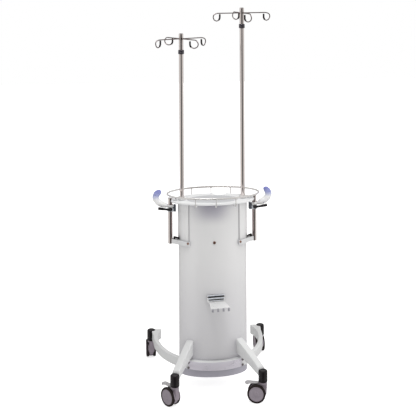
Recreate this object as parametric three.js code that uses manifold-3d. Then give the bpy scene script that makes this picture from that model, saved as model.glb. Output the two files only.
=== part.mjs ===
// Two-pole infusion stand on four twin-wheel casters: an oval column carries a tray with a
// guard rail, two telescopic poles with four-way hook heads, two side rails with clamped push
// handles and a bag bracket. Millimetres, +Z up, front is -Y, left is -X; the origin is on
// the floor under the middle of the footprint.
import * as THREE from 'three';
import { mergeVertices } from 'three/addons/utils/BufferGeometryUtils.js';
import Module from 'manifold-3d';

// ---------------------------------------------------------------- driving dimensions
// For every oval, A is the half axis along X and B the half axis along Y.
const GAP = 0.4; // clearance between neighbouring pieces
const TRAY_A = 236, TRAY_B = 133, TRAY_Z0 = 1022, TRAY_Z1 = 1029;
const ON_TRAY = TRAY_Z1 + GAP; // underside of what stands on the tray
const PAD_A = 140, PAD_B = 84, PAD_Y = -8, PAD_TOP = 1030; // raised middle of the tray
const BODY_A = 190.5, BODY_B = 105, BODY_WALL = 2;
const BODY_Z0 = 73, BODY_Z1 = TRAY_Z0 - GAP;
const SIDE_PLATE_Z0 = 795, SIDE_PLATE_X = 140, SIDE_PLATE_T = 3, SIDE_PLATE_GAP = 0.6;
const BASE_PLATE_Z0 = 88, BASE_PLATE_Z1 = 96, BALLAST_TOP = 170;
const RING_A = 257, RING_B = 149, RING_X = 4, RING_Z = 1062, RING_R = 5; // guard rail
const POLE_X = 171.5, POLE_R = 12.5, TUBE_LENGTH = 1143;
const ROD_R = 9.5, ROD_LENGTH = 690, HUB_BORE_R = 9.9, HOOK_WIRE_R = 2.9;
const ARM_Z = { left: 1927, right: 2068 }; // height of the hook arms
const HEAD_TURN = { left: 209.5, right: 190.5 }; // direction of the first hook arm, degrees
const RAIL_X = 237, RAIL_Y = 0, RAIL_R = 12.5, RAIL_Z0 = 789, RAIL_Z1 = 1042;
const RAIL_BORE_R = RAIL_R + 0.55;
const LOWER_BRACKET_TOP = RAIL_Z0 + 25;
const CLAMP_Z0 = 966, CLAMP_Z1 = CLAMP_Z0 + 22, CLAMP_PAD_TOP = CLAMP_Z0 + 37.6;
const BOW_A = 320, BOW_B = 422, BOW_CENTRE_Y = 290, BOW_POWER = 2.1; // outer edge
const BOW_WIDTH = 25, BOW_Z0 = 119, BOW_Z1 = 169, BOW_END_Y = 345;
const BASE_COLUMN_GAP = 0.8; // between the column and the base pieces cut round it
const LEG_START = [128, -56]; // inner end of the right front leg
const FRONT_CASTER = [236, -272], REAR_CASTER = [328, 376]; // right-hand casters
const SOCKET_R = 24.5, SOCKET_Z0 = 110, SOCKET_Z1 = 171, SOCKET_BORE_R = 6.6, SOCKET_BORE_TOP = 152;
const WHEEL_R = 49.5, TRAIL = 34; // trail: axle distance from the swivel axis
const HOOD_R = 45.5, HOOD_WIDTH = 23.4, PEDAL_Z = 104.4;
const CASTER_TURN = { front_left: 128.5, front_right: 165.5, rear_left: 91.5, rear_right: 93.7 };
const BAG_X = 6, BAG_Z = 490, BAG_TURN = 6; // bag bracket place, and its turn in degrees

const SIDES = [['left', -1], ['right', 1]];

// ---------------------------------------------------------------- finishes
const WHITE = 0xe9eaec, STEEL = 0xb9b2ae, BLACK = 0x1c191c;
// Each finish is [colour, roughness, metalness].
const FINISH = {
  shell: [0xd6d7da, 0.4, 0.1],
  plate: [WHITE, 0.4, 0.05],
  basePlate: [0x9a9a9e, 0.5, 0.6],
  ballast: [0x4a4a4c, 0.7, 0.5],
  lock: [0x8a7f7a, 0.35, 0.8],
  tray: [WHITE, 0.35, 0.05],
  trayRail: [0xd9d6d4, 0.2, 0.9],
  guide: [0x9fa0a4, 0.4, 0.7],
  tube: [STEEL, 0.22, 1],
  collar: [0x4b4246, 0.2, 0.2],
  rod: [0xc4bfbc, 0.2, 1],
  hooks: [0xa39c9a, 0.2, 1],
  lever: [BLACK, 0.45, 0],
  clamp: [0x5b6068, 0.5, 0.1],
  handle: [0xe4e5e6, 0.35, 0],
  grip: [0x8288ba, 0.4, 0],
  bagMount: [0xc9c9cc, 0.3, 0.7],
  bagBracket: [0xe0e0e2, 0.35, 0.1],
  bow: [WHITE, 0.35, 0.15],
  leg: [WHITE, 0.35, 0.1],
  socket: [BLACK, 0.4, 0],
  fork: [0x8f868e, 0.5, 0.1],
  wheel: [0x2b272b, 0.6, 0],
  pedal: [0xb4b1b2, 0.45, 0],
};

// ---------------------------------------------------------------- geometry helpers
const wasm = await Module();
wasm.setup();
const rad = THREE.MathUtils.degToRad;

// Keeps positions only, welds them, drops collapsed triangles and turns the faces outward.
function clean(source) {
  let geometry = source.index ? source.toNonIndexed() : source.clone();
  for (const name of Object.keys(geometry.attributes)) {
    if (name !== 'position') geometry.deleteAttribute(name);
  }
  geometry.clearGroups();
  geometry = mergeVertices(geometry, 1e-3);
  const kept = [];
  let volume = 0;
  for (let i = 0; i < geometry.index.count; i += 3) {
    const corners = [0, 1, 2].map((k) => geometry.index.getX(i + k));
    if (new Set(corners).size < 3) continue;
    kept.push(...corners);
    const [first, second, third] = corners.map((corner) =>
      new THREE.Vector3().fromBufferAttribute(geometry.attributes.position, corner));
    volume += first.dot(second.cross(third));
  }
  if (volume < 0) {
    for (let i = 0; i < kept.length; i += 3) [kept[i + 1], kept[i + 2]] = [kept[i + 2], kept[i + 1]];
  }
  geometry.setIndex(kept);
  return geometry;
}

function solid(source) {
  const geometry = clean(source);
  return new wasm.Manifold(new wasm.Mesh({
    numProp: 3,
    vertProperties: new Float32Array(geometry.attributes.position.array),
    triVerts: new Uint32Array(geometry.index.array),
  }));
}

function geometryOf(manifold) {
  const mesh = manifold.getMesh();
  const positions = new THREE.BufferAttribute(new Float32Array(mesh.vertProperties), 3);
  const geometry = new THREE.BufferGeometry().setAttribute('position', positions);
  return geometry.setIndex(Array.from(mesh.triVerts));
}

const join = (...solids) => solids.reduce((whole, next) => whole.add(next));
const cut = (from, ...tools) => tools.reduce((rest, tool) => rest.subtract(tool), from);

// A box between two corners.
function box(x0, x1, y0, y1, z0, z1) {
  return new THREE.BoxGeometry(x1 - x0, y1 - y0, z1 - z0)
    .translate((x0 + x1) / 2, (y0 + y1) / 2, (z0 + z1) / 2);
}

// An upright cylinder.
function post(radius, z0, z1, x = 0, y = 0, sides = 20) {
  return new THREE.CylinderGeometry(radius, radius, z1 - z0, sides)
    .rotateX(Math.PI / 2).translate(x, y, (z0 + z1) / 2);
}

// A turned solid about the vertical axis; the profile is a list of [radius, height].
function turned(profile, sides = 20, close = false) {
  const points = profile.map(([radius, z]) => new THREE.Vector2(radius, z));
  if (close) points.push(points[0].clone());
  return new THREE.LatheGeometry(points, sides).rotateX(Math.PI / 2).scale(1, -1, 1);
}

function hollow(inner, outer, z0, z1, sides) {
  return turned([[inner, z0], [outer, z0], [outer, z1], [inner, z1]], sides, true);
}

// A flat outline raised from z0 to z1.
function raised(points, z0, z1) {
  const shape = new THREE.Shape(points.map(([x, y]) => new THREE.Vector2(x, y)));
  return new THREE.ExtrudeGeometry(shape, { depth: z1 - z0, bevelEnabled: false })
    .translate(0, 0, z0);
}

// Points of an oval, or of the part of it between two angles in degrees.
function oval(a, b, steps, from = 0, to = 360) {
  const points = [], count = to - from === 360 ? steps : steps + 1;
  for (let i = 0; i < count; i++) {
    const angle = rad(from + ((to - from) * i) / steps);
    points.push([a * Math.cos(angle), b * Math.sin(angle)]);
  }
  return points;
}

// Outline between two oval arcs that follow the column, `inner` and `outer` out from its face.
function columnBand(inner, outer, steps, from, to) {
  return [
    ...oval(BODY_A + outer, BODY_B + outer, steps, from, to),
    ...oval(BODY_A + inner, BODY_B + inner, steps, from, to).reverse(),
  ];
}

const mirrored = (points, sign) => points.map(([x, y]) => [sign * x, y]);

// A skin through a list of rings, closed at both ends.
function loft(rings) {
  const count = rings[0].length, index = [];
  for (let k = 0; k + 1 < rings.length; k++) {
    for (let i = 0; i < count; i++) {
      const here = k * count + i, next = k * count + ((i + 1) % count);
      index.push(here, next, next + count, here, next + count, here + count);
    }
  }
  const last = (rings.length - 1) * count;
  for (let i = 1; i + 1 < count; i++) {
    index.push(0, i + 1, i);
    index.push(last, last + i, last + i + 1);
  }
  const positions = new THREE.Float32BufferAttribute(rings.flat(2), 3);
  return new THREE.BufferGeometry().setAttribute('position', positions).setIndex(index);
}

// Rings of a round bar of changing radius; `side` is a direction across its path.
function barRings(points, radii, side, sides) {
  const centres = points.map((point) => new THREE.Vector3(...point));
  const across = new THREE.Vector3(...side).normalize();
  return centres.map((centre, k) => {
    const along = centres[Math.min(k + 1, centres.length - 1)].clone()
      .sub(centres[Math.max(k - 1, 0)]).normalize();
    const normal = new THREE.Vector3().crossVectors(across, along).normalize();
    const level = new THREE.Vector3().crossVectors(along, normal).normalize();
    return Array.from({ length: sides }, (_, i) => {
      const angle = (2 * Math.PI * i) / sides;
      return centre.clone().addScaledVector(level, radii[k] * Math.cos(angle))
        .addScaledVector(normal, radii[k] * Math.sin(angle)).toArray();
    });
  });
}
const bar = (...shape) => solid(loft(barRings(...shape)));

// Round wire along a smooth curve.
function wire(points, radius, steps, sides) {
  const shape = new THREE.Shape(oval(radius, radius, sides).map(([x, y]) => new THREE.Vector2(x, y)));
  const centres = points.map((point) => new THREE.Vector3(...point));
  const extrudePath = new THREE.CatmullRomCurve3(centres, false, 'centripetal');
  return new THREE.ExtrudeGeometry(shape, { steps, bevelEnabled: false, extrudePath });
}

const stand = new THREE.Group();

function part(name, shape, finish, parent = stand) {
  const geometry = shape instanceof THREE.BufferGeometry ? clean(shape) : geometryOf(shape);
  geometry.computeVertexNormals();
  const [color, roughness, metalness] = finish;
  const material = new THREE.MeshStandardMaterial({ color, roughness, metalness });
  const mesh = new THREE.Mesh(geometry, material);
  mesh.name = name;
  parent.add(mesh);
}

// ---------------------------------------------------------------- column
function addColumn() {
  const shell = (from, to) => raised(columnBand(-BODY_WALL, 0, 20, from, to), BODY_Z0, BODY_Z1);
  part('body_front_shell', shell(180.1, 359.9), FINISH.shell);
  part('body_rear_shell', shell(0.1, 179.9), FINISH.shell);

  const reach = THREE.MathUtils.radToDeg(Math.acos(SIDE_PLATE_X / BODY_A));
  for (const [side, sign] of SIDES) {
    const middle = sign > 0 ? 0 : 180;
    const outline = columnBand(SIDE_PLATE_GAP, SIDE_PLATE_GAP + SIDE_PLATE_T, 12,
      middle - reach, middle + reach);
    part(`side_plate_${side}`, raised(outline, SIDE_PLATE_Z0, BODY_Z1), FINISH.plate);
  }

  const baseOutline = oval(BODY_A - 3.2, BODY_B - 3.2, 32);
  part('base_plate', raised(baseOutline, BASE_PLATE_Z0, BASE_PLATE_Z1), FINISH.basePlate);
  const ballast = raised(oval(130, 80, 24), BASE_PLATE_Z1 + GAP, BALLAST_TOP);
  part('ballast_weight', ballast, FINISH.ballast);
  const lock = turned([[0, 0], [7.5, 0], [7.5, 3.5], [0, 3.5]], 12)
    .rotateX(Math.PI / 2).translate(-2, -BODY_B - 0.3, 812);
  part('body_lock', lock, FINISH.lock);
}

// ---------------------------------------------------------------- tray and guard rail
function addTray() {
  const z0 = TRAY_Z0 - 5, z1 = TRAY_Z1 + 5; // reach of the cutting tools
  const pad = raised(oval(PAD_A, PAD_B, 36), TRAY_Z0 + 2, PAD_TOP).translate(0, PAD_Y, 0);
  let tray = join(solid(raised(oval(TRAY_A, TRAY_B, 48), TRAY_Z0, TRAY_Z1)), solid(pad));
  // Round-ended notch in the rear edge.
  const notchX = 54, notchA = 35, notchY = 122;
  tray = cut(tray, join(
    solid(box(notchX - notchA, notchX + notchA, notchY, 160, z0, z1)),
    solid(raised(oval(notchA, 26, 16), z0, z1).translate(notchX, notchY, 0)),
  ));
  for (const [, sign] of SIDES) {
    tray = cut(
      tray,
      solid(post(13.6, z0, z1, sign * POLE_X, 0, 14)),
      solid(post(13.4, z0, z1, sign * RAIL_X, RAIL_Y, 14)),
    );
  }
  part('top_tray', tray, FINISH.tray);
}

// Legs of the guard rail: [-1 front or 1 rear, x].
const RING_LEGS = [[-1, -108], [-1, 5], [-1, 114], [1, -104], [1, 9], [1, 120]];

function addTrayRail() {
  // A small torus gives the mesh; each point is then moved onto the oval ring.
  const torus = new THREE.TorusGeometry(10, 1, 5, 48), position = torus.attributes.position;
  for (let i = 0; i < position.count; i++) {
    const x = position.getX(i), y = position.getY(i);
    const angle = Math.atan2(y, x), out = (Math.hypot(x, y) - 10) * RING_R;
    const normal = new THREE.Vector2(Math.cos(angle) / RING_A, Math.sin(angle) / RING_B).normalize();
    position.setXYZ(
      i,
      RING_X + RING_A * Math.cos(angle) + normal.x * out,
      RING_B * Math.sin(angle) + normal.y * out,
      RING_Z + position.getZ(i) * RING_R,
    );
  }
  let rail = solid(torus);
  // Each leg drops from the ring and has a stub running inward at its foot.
  const legZ0 = 1013, stubZ = 1016;
  for (const [back, x] of RING_LEGS) {
    const y = back * RING_B * Math.sqrt(1 - ((x - RING_X) / RING_A) ** 2);
    const stub = [[x, y + back, stubZ], [x * 0.9, y - back * 25, stubZ]];
    rail = join(rail, solid(post(2.5, legZ0, RING_Z, x, y, 6)), bar(stub, [2.4, 2.4], [0, 0, 1], 5));
  }
  part('tray_rail', rail, FINISH.trayRail);
}

// ---------------------------------------------------------------- poles
// Centre line of one hook arm: [out from the pole axis, sideways, up from the arm height].
const ARM_PATH = [
  [8, 0, 0], [60, 0, 0], [120, 0, 0], [144, -1.5, -0.5], [158, -3, -5.5], [166, -2, -13.5],
  [167, -1, -24.5], [160.5, -4, -36.5], [145.5, -12, -43.5], [130, -20, -39],
  [122, -24, -27.5], [122, -24, -6],
];

function hookHead(side, bottom, top) {
  const boreTop = top - 11.5;
  let head = solid(turned([
    [0, boreTop], [HUB_BORE_R, boreTop], [HUB_BORE_R, bottom], [12.5, bottom],
    [12.5, top - 4], [9, top], [0, top],
  ], 16));
  for (let i = 0; i < 4; i++) {
    const arm = wire(ARM_PATH, HOOK_WIRE_R, 17, 5)
      .rotateZ(rad(HEAD_TURN[side] + 90 * i)).translate(0, 0, ARM_Z[side]);
    head = join(head, solid(arm));
  }
  // The arms start inside the hub wall, so the bore is cut clear again.
  return geometryOf(cut(head, solid(post(HUB_BORE_R, bottom - 13.4, boreTop, 0, 0, 16))));
}

function addPole(side, sign) {
  const collarZ0 = ARM_Z[side] - 85, collarZ1 = collarZ0 + 23, tubeTop = collarZ0 + 13;
  const hubTop = ARM_Z[side] + 30, rodTop = hubTop - 12;
  const add = (name, geometry, finish) =>
    part(`${name}_${side}`, geometry.translate(sign * POLE_X, 0, 0), finish);

  add('pole_boss', turned([
    [13.1, ON_TRAY], [20.5, ON_TRAY], [20.5, 1041], [18.5, 1044], [13.1, 1044],
  ], 18, true), FINISH.tray);
  add('pole_guide', hollow(13, 13.75, 96.5, BODY_Z1, 16), FINISH.guide);
  add('pole_tube', hollow(10.3, POLE_R, tubeTop - TUBE_LENGTH, tubeTop, 16), FINISH.tube);
  add('pole_collar', turned([
    [12.95, collarZ0], [16.8, collarZ0], [16.8, collarZ1 - 3], [14.5, collarZ1],
    [10.2, collarZ1], [10.2, tubeTop + GAP], [12.95, tubeTop + GAP],
  ], 16, true), FINISH.collar);
  add('inner_rod', post(ROD_R, rodTop - ROD_LENGTH, rodTop, 0, 0, 16), FINISH.rod);
  add('hook_head', hookHead(side, collarZ1 + GAP, hubTop), FINISH.hooks);
}

// ---------------------------------------------------------------- side rails and brackets
// Outlines on the right-hand side, [x, y].
const LOWER_ARM = [
  [229, 12.5], [196, 12.5], [170, -20], [137, -66], [134, -79], [140, -85],
  [152, -80.5], [168, -69], [182, -55], [196, -38], [210, -23], [229, -12.5],
];
const UPPER_FOOT = [[229, -13], [204, -15], [197, -9], [197, 9], [204, 15], [229, 13]];
const UPPER_SADDLE = [[229, -13], [214, -13], [214, 13], [229, 13]];

const railBore = (sign) => solid(post(RAIL_BORE_R, 780, 1100, sign * RAIL_X, RAIL_Y, 16));

function addSideRail(side, sign) {
  const rail = hollow(10.5, RAIL_R, RAIL_Z0, RAIL_Z1, 16).translate(sign * RAIL_X, RAIL_Y, 0);
  part(`side_rail_${side}`, rail, FINISH.tube);

  // Lower bracket: a flat arm bent round the column's flank, hollowed to seat the rail.
  const bore = railBore(sign);
  const keepOff = SIDE_PLATE_T + 2 * SIDE_PLATE_GAP;
  const column = solid(raised(oval(BODY_A + keepOff, BODY_B + keepOff, 48), 700, 1100));
  const arm = solid(raised(mirrored(LOWER_ARM, sign), RAIL_Z0 - 0.5, LOWER_BRACKET_TOP));
  part(`rail_lower_bracket_${side}`, cut(arm, bore, column), FINISH.plate);

  // Upper bracket: a foot on the tray with a taller saddle against the rail.
  const foot = solid(raised(mirrored(UPPER_FOOT, sign), ON_TRAY, 1034));
  const saddle = solid(raised(mirrored(UPPER_SADDLE, sign), ON_TRAY, 1040.5));
  part(`rail_upper_bracket_${side}`, cut(join(foot, saddle), bore), FINISH.plate);

  const x = sign * 214, y = -11, z = LOWER_BRACKET_TOP + GAP;
  const blade = [[x, y, z + 11], [sign * 205, -21, z + 9.5], [sign * 189, -39, z + 6.2]];
  part(`rail_lock_lever_${side}`, join(
    solid(post(6, z, z + 15, x, y, 12)),
    bar(blade, [4.6, 5.2, 4.4], [0, 0, 1], 8),
  ), FINISH.lever);
}

// ---------------------------------------------------------------- clamps and push handles
// Block round the rail with a raised pad on the column side, and a lever at the front.
function addClamp(side, sign) {
  const railX = sign * RAIL_X;
  // Ends are measured outward from the rail axis.
  const slab = (from, to, halfDepth, top) => {
    const ends = [sign * from, sign * to];
    return solid(box(Math.min(...ends) + railX, Math.max(...ends) + railX,
      RAIL_Y - halfDepth, RAIL_Y + halfDepth, CLAMP_Z0, top));
  };
  const block = join(slab(-32, 15, 14, CLAMP_Z1), slab(-32, -18.4, 12, CLAMP_PAD_TOP));
  part(`clamp_block_${side}`, cut(block, railBore(sign)), FINISH.clamp);

  const hubZ = CLAMP_Z0 + 16;
  const hub = turned([
    [0, 0], [5.8, 0], [5.8, 3.4], [9.5, 3.4], [10.5, 6], [10.5, 17], [8, 20.5], [0, 20.5],
  ], 12).rotateX(Math.PI / 2).translate(railX, RAIL_Y - 14.4, hubZ);
  // Lever stations: [outward, forward, up, radius] from the rail axis at hub height.
  const stations = [[0, 24, 0, 6.2], [25, 26, 1, 5.8], [58, 28, 4.5, 6], [69, 28.5, 6, 4.6]];
  const lever = bar(
    stations.map(([out, forward, up]) => [railX + sign * out, RAIL_Y - forward, hubZ + up]),
    stations.map((station) => station[3]), [0, 1, 0], 8,
  );
  part(`clamp_lever_${side}`, join(solid(hub), lever), FINISH.lever);
}

// Centre line of the horn: [out from the rail axis, z, radius].
const HORN = [
  [12, 996, 7], [20, 998.5, 10.5], [34, 1003, 14], [50, 1009.5, 15.8], [65, 1020, 16.3],
  [75.5, 1034, 16.3], [79.5, 1048, 16.3], [78, 1061, 16.3], [77.75, 1061.4, 16.3],
  [73.5, 1069.5, 16.1], [67.5, 1076.5, 15], [61.5, 1081.5, 11.5], [57.5, 1084, 5],
];
const GRIP_START = 8; // station where the separate end cap begins

function addHandle(side, sign) {
  const railX = sign * RAIL_X;
  const centres = HORN.map(([out, z]) => [railX + sign * out, RAIL_Y, z]);
  const rings = barRings(centres, HORN.map((station) => station[2]), [0, 1, 0], 12);
  // The cap's first ring is the arm's last one moved a little, so the two faces are parallel.
  rings[GRIP_START] = rings[GRIP_START - 1].map(([x, y, z]) => [x - sign * 0.25, y, z + 0.4]);
  const collar = hollow(RAIL_BORE_R, 17.2, CLAMP_Z1 + GAP, CLAMP_PAD_TOP, 18);
  const arm = join(
    solid(collar.translate(railX, RAIL_Y, 0)),
    solid(loft(rings.slice(0, GRIP_START))),
  );
  part(`handle_arm_${side}`, cut(arm, railBore(sign)), FINISH.handle);
  part(`handle_grip_${side}`, loft(rings.slice(GRIP_START)), FINISH.grip);
}

// ---------------------------------------------------------------- bag bracket
function addBagBracket() {
  const bag = new THREE.Group();
  bag.position.set(BAG_X, -BODY_B, BAG_Z);
  bag.rotation.z = rad(BAG_TURN);
  stand.add(bag);

  // Mount: a plate with three lips on its front.
  part('bag_bracket_mount', join(
    solid(box(-52, 48, -6, -2.2, -2, 37)),
    solid(box(-50, 46, -10.5, -5.5, 33, 37)),
    solid(box(-48, 44, -8.8, -5.5, 15.5, 22)),
    solid(box(-40, 40, -7.2, -5.5, 3.5, 7.5)),
  ), FINISH.bagMount, bag);

  // Shelf: a level plate, wider at the front, with four tabs turned down and then forward.
  const front = -112, tabRear = -109.5, tabZ = -13;
  let shelf = solid(raised([[-42, -8.5], [42, -8.5], [54, front], [-54, front]], -1.2, 1.3));
  for (const x of [-44, -15, 15, 44]) {
    const x0 = x - 5.5, x1 = x + 5.5;
    const tab = raised([[x0, tabRear], [x1, tabRear], [x1, front], [x0, front]], tabZ, 0);
    const toe = box(x - 4, x + 4, -117, tabRear, -17, tabZ);
    shelf = join(shelf, solid(tab), solid(toe));
  }
  part('bag_bracket', shelf, FINISH.bagBracket, bag);
}

// ---------------------------------------------------------------- base
function columnTool(top) {
  return solid(raised(oval(BODY_A + BASE_COLUMN_GAP, BODY_B + BASE_COLUMN_GAP, 40), 60, top));
}
const socketTool = ([x, y], sign) => solid(post(SOCKET_R + GAP, 60, 220, sign * x, y, 20));

// The bow's outer edge moved inward by `inset`: half a squarish oval with straight rear ends.
function bowEdge(inset) {
  const points = [], power = 2 / BOW_POWER;
  for (let i = 0; i <= 24; i++) {
    const angle = rad(-180 + (180 * i) / 24), cosine = Math.cos(angle);
    const x = BOW_A * Math.sign(cosine) * Math.abs(cosine) ** power;
    const y = -BOW_B * Math.max(-Math.sin(angle), 0) ** power;
    const normal = new THREE.Vector2(
      Math.sign(x) * Math.abs(x / BOW_A) ** (BOW_POWER - 1) / BOW_A,
      -(Math.abs(y / BOW_B) ** (BOW_POWER - 1)) / BOW_B,
    ).normalize();
    points.push([x - normal.x * inset, BOW_CENTRE_Y + y - normal.y * inset]);
  }
  return [[-BOW_A + inset, BOW_END_Y], ...points, [BOW_A - inset, BOW_END_Y]];
}

// Outline of the bow's widened rear end on the right, [x, y].
const BOW_END = [
  [320, 300], [325, 330], [326, 384], [268, 384], [268, 364], [282, 342], [290, 300], [296, 262],
];

// One bar bent round the front of the column and back to the rear casters.
function addBow() {
  let bow = solid(raised([...bowEdge(0), ...bowEdge(BOW_WIDTH).reverse()], BOW_Z0, BOW_Z1));
  for (const [, sign] of SIDES) {
    bow = join(bow, solid(raised(mirrored(BOW_END, sign), BOW_Z0, BOW_Z1)));
    bow = cut(bow, socketTool(REAR_CASTER, sign));
  }
  part('base_bow', cut(bow, columnTool(220)), FINISH.bow);
}

// Front leg stations: [fraction of the way to the caster, half width, bottom, top].
const LEG_STATIONS = [[0, 20, 196, 279], [0.3, 20, 181, 250], [0.62, 19.5, 161, 217], [1, 19, 131, 173]];

function addFrontLeg(side, sign) {
  const [startX, startY] = LEG_START;
  const runX = FRONT_CASTER[0] - startX, runY = FRONT_CASTER[1] - startY;
  const along = new THREE.Vector2(runX, runY).normalize();
  const rings = LEG_STATIONS.map(([fraction, half, z0, z1]) =>
    [[-half, z0], [half, z0], [half, z1], [-half, z1]].map(([offset, z]) => [
      sign * (startX + runX * fraction - along.y * offset),
      startY + runY * fraction + along.x * offset,
      z,
    ]));
  const leg = cut(solid(loft(rings)), columnTool(400), socketTool(FRONT_CASTER, sign));
  part(`front_leg_${side}`, leg, FINISH.leg);
}

// ---------------------------------------------------------------- casters
// Inside a swivel group the trail runs along +X and the axle along Y.
function casterSocket() {
  return turned([
    [SOCKET_BORE_R, SOCKET_Z0], [SOCKET_R, SOCKET_Z0], [SOCKET_R, SOCKET_Z1 - 4],
    [19.5, SOCKET_Z1], [0, SOCKET_Z1], [0, SOCKET_BORE_TOP], [SOCKET_BORE_R, SOCKET_BORE_TOP],
  ], 18, true);
}

// Hood between the wheels, with the swivel disc, the stem and the axle.
function casterFork() {
  const outline = [[-20, 108], [22, 108], [22, 97]]; // [x, z]
  for (let i = 0; i <= 14; i++) {
    const angle = rad(90 - (235 * i) / 14);
    outline.push([TRAIL + HOOD_R * Math.cos(angle), WHEEL_R + HOOD_R * Math.sin(angle)]);
  }
  outline.push([-12, 34], [-18, 50], [-21, 70], [-21.5, 90]);
  const hood = raised(outline, 0, HOOD_WIDTH).rotateX(Math.PI / 2).translate(0, HOOD_WIDTH / 2, 0);
  const axle = new THREE.CylinderGeometry(4, 4, 48, 12).translate(TRAIL, 0, WHEEL_R);
  return join(
    solid(hood),
    solid(post(21.5, 99.5, 109.4, 0, 0, 18)),
    solid(post(6, 95, 146, 0, 0, 12)),
    solid(axle),
  );
}

function casterWheel(sign) {
  // [radius, distance from the caster's middle plane]
  return turned([
    [0, 25], [4.5, 25], [4.5, 12.2], [46.5, 12.2],
    [WHEEL_R, 15], [WHEEL_R, 24.4], [46, 27.8], [0, 27.8],
  ], 24).rotateX(-Math.PI / 2).scale(1, sign, 1).translate(TRAIL, 0, WHEEL_R);
}

// Brake pedal stations: [x, half width, half height].
const PEDAL = [[24, 10, 3.5], [37, 12.5, 3.5], [62, 15.5, 3.6], [82, 15, 3.5], [93, 10.5, 2.8]];

function brakePedal() {
  return loft(PEDAL.map(([x, half, rise]) => [
    [-half, -rise], [half, -rise], [half + 0.5, 0],
    [half - 1, rise], [-half + 1, rise], [-half - 0.5, 0],
  ].map(([y, z]) => [x, y, PEDAL_Z + z])));
}

function addCaster(row, side, x, y) {
  const key = `${row}_${side}`, swivel = new THREE.Group();
  part(`caster_socket_${key}`, casterSocket().translate(x, y, 0), FINISH.socket);
  swivel.position.set(x, y, 0);
  swivel.rotation.z = rad(CASTER_TURN[key]);
  stand.add(swivel);
  part(`caster_fork_${key}`, casterFork(), FINISH.fork, swivel);
  part(`wheel_${key}_a`, casterWheel(-1), FINISH.wheel, swivel);
  part(`wheel_${key}_b`, casterWheel(1), FINISH.wheel, swivel);
  if (row === 'front') part(`brake_pedal_${key}`, brakePedal(), FINISH.pedal, swivel);
}

// ---------------------------------------------------------------- assembly
addColumn();
addTray();
addTrayRail();
for (const [side, sign] of SIDES) addPole(side, sign);
for (const [side, sign] of SIDES) {
  addSideRail(side, sign);
  addClamp(side, sign);
  addHandle(side, sign);
}
addBagBracket();
addBow();
for (const [side, sign] of SIDES) addFrontLeg(side, sign);
for (const [row, [x, y]] of [['front', FRONT_CASTER], ['rear', REAR_CASTER]]) {
  for (const [side, sign] of SIDES) addCaster(row, side, sign * x, y);
}

// Centre the footprint on the origin, with the wheels on the floor.
stand.updateMatrixWorld(true);
const { min, max } = new THREE.Box3().setFromObject(stand, true);
stand.position.set(-(min.x + max.x) / 2, -(min.y + max.y) / 2, -min.z);
const model = new THREE.Group();
model.add(stand);
model.updateMatrixWorld(true);
export default model;
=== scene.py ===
import math
import bpy
import bmesh
from mathutils import Vector, Matrix


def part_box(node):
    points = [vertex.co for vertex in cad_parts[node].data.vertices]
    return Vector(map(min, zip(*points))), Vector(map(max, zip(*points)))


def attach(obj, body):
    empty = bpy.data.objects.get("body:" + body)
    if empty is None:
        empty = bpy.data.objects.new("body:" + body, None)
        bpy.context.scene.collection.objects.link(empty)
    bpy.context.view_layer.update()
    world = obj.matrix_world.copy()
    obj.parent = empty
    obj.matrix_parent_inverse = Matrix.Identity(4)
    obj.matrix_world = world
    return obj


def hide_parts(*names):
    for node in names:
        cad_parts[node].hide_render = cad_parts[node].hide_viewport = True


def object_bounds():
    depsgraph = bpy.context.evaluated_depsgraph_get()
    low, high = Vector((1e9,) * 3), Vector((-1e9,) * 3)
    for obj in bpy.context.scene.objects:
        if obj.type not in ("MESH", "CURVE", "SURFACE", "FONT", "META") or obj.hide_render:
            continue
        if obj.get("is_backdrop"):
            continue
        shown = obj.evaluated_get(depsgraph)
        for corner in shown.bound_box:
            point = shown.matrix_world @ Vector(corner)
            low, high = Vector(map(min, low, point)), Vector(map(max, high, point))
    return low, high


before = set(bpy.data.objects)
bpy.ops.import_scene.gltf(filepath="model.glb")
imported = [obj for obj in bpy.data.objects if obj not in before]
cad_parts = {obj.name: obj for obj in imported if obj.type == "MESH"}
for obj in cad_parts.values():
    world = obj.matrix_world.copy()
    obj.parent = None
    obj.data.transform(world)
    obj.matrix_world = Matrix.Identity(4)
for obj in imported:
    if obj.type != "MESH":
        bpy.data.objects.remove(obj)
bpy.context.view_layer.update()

# ------------------------------------------------------------------ frame
# Design coordinates are millimetres from the column's own axis; the frame's origin is the middle of the footprint.
def mid(node):
    lo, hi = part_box(node)
    return (lo + hi) / 2

_pl, _pr = mid("pole_guide_left"), mid("pole_guide_right")
OX, OY = (_pl.x + _pr.x) / 2, (_pl.y + _pr.y) / 2
A, B = 190.5, 105.0
POLE_X = (_pr.x - _pl.x) * 500
RAIL_X, RAIL_Y = 237.0, 0.0
SIDES = (("left", -1), ("right", 1))
TURN = {"front_left": 128.5, "front_right": 165.5, "rear_left": 91.5, "rear_right": 93.7}
PLACE = {"front_left": (-236, -272), "front_right": (236, -272), "rear_left": (-328, 376), "rear_right": (328, 376)}
PSI = math.radians(6.5)


def pt(p):
    return Vector((p[0] / 1000 + OX, p[1] / 1000 + OY, p[2] / 1000))


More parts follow.
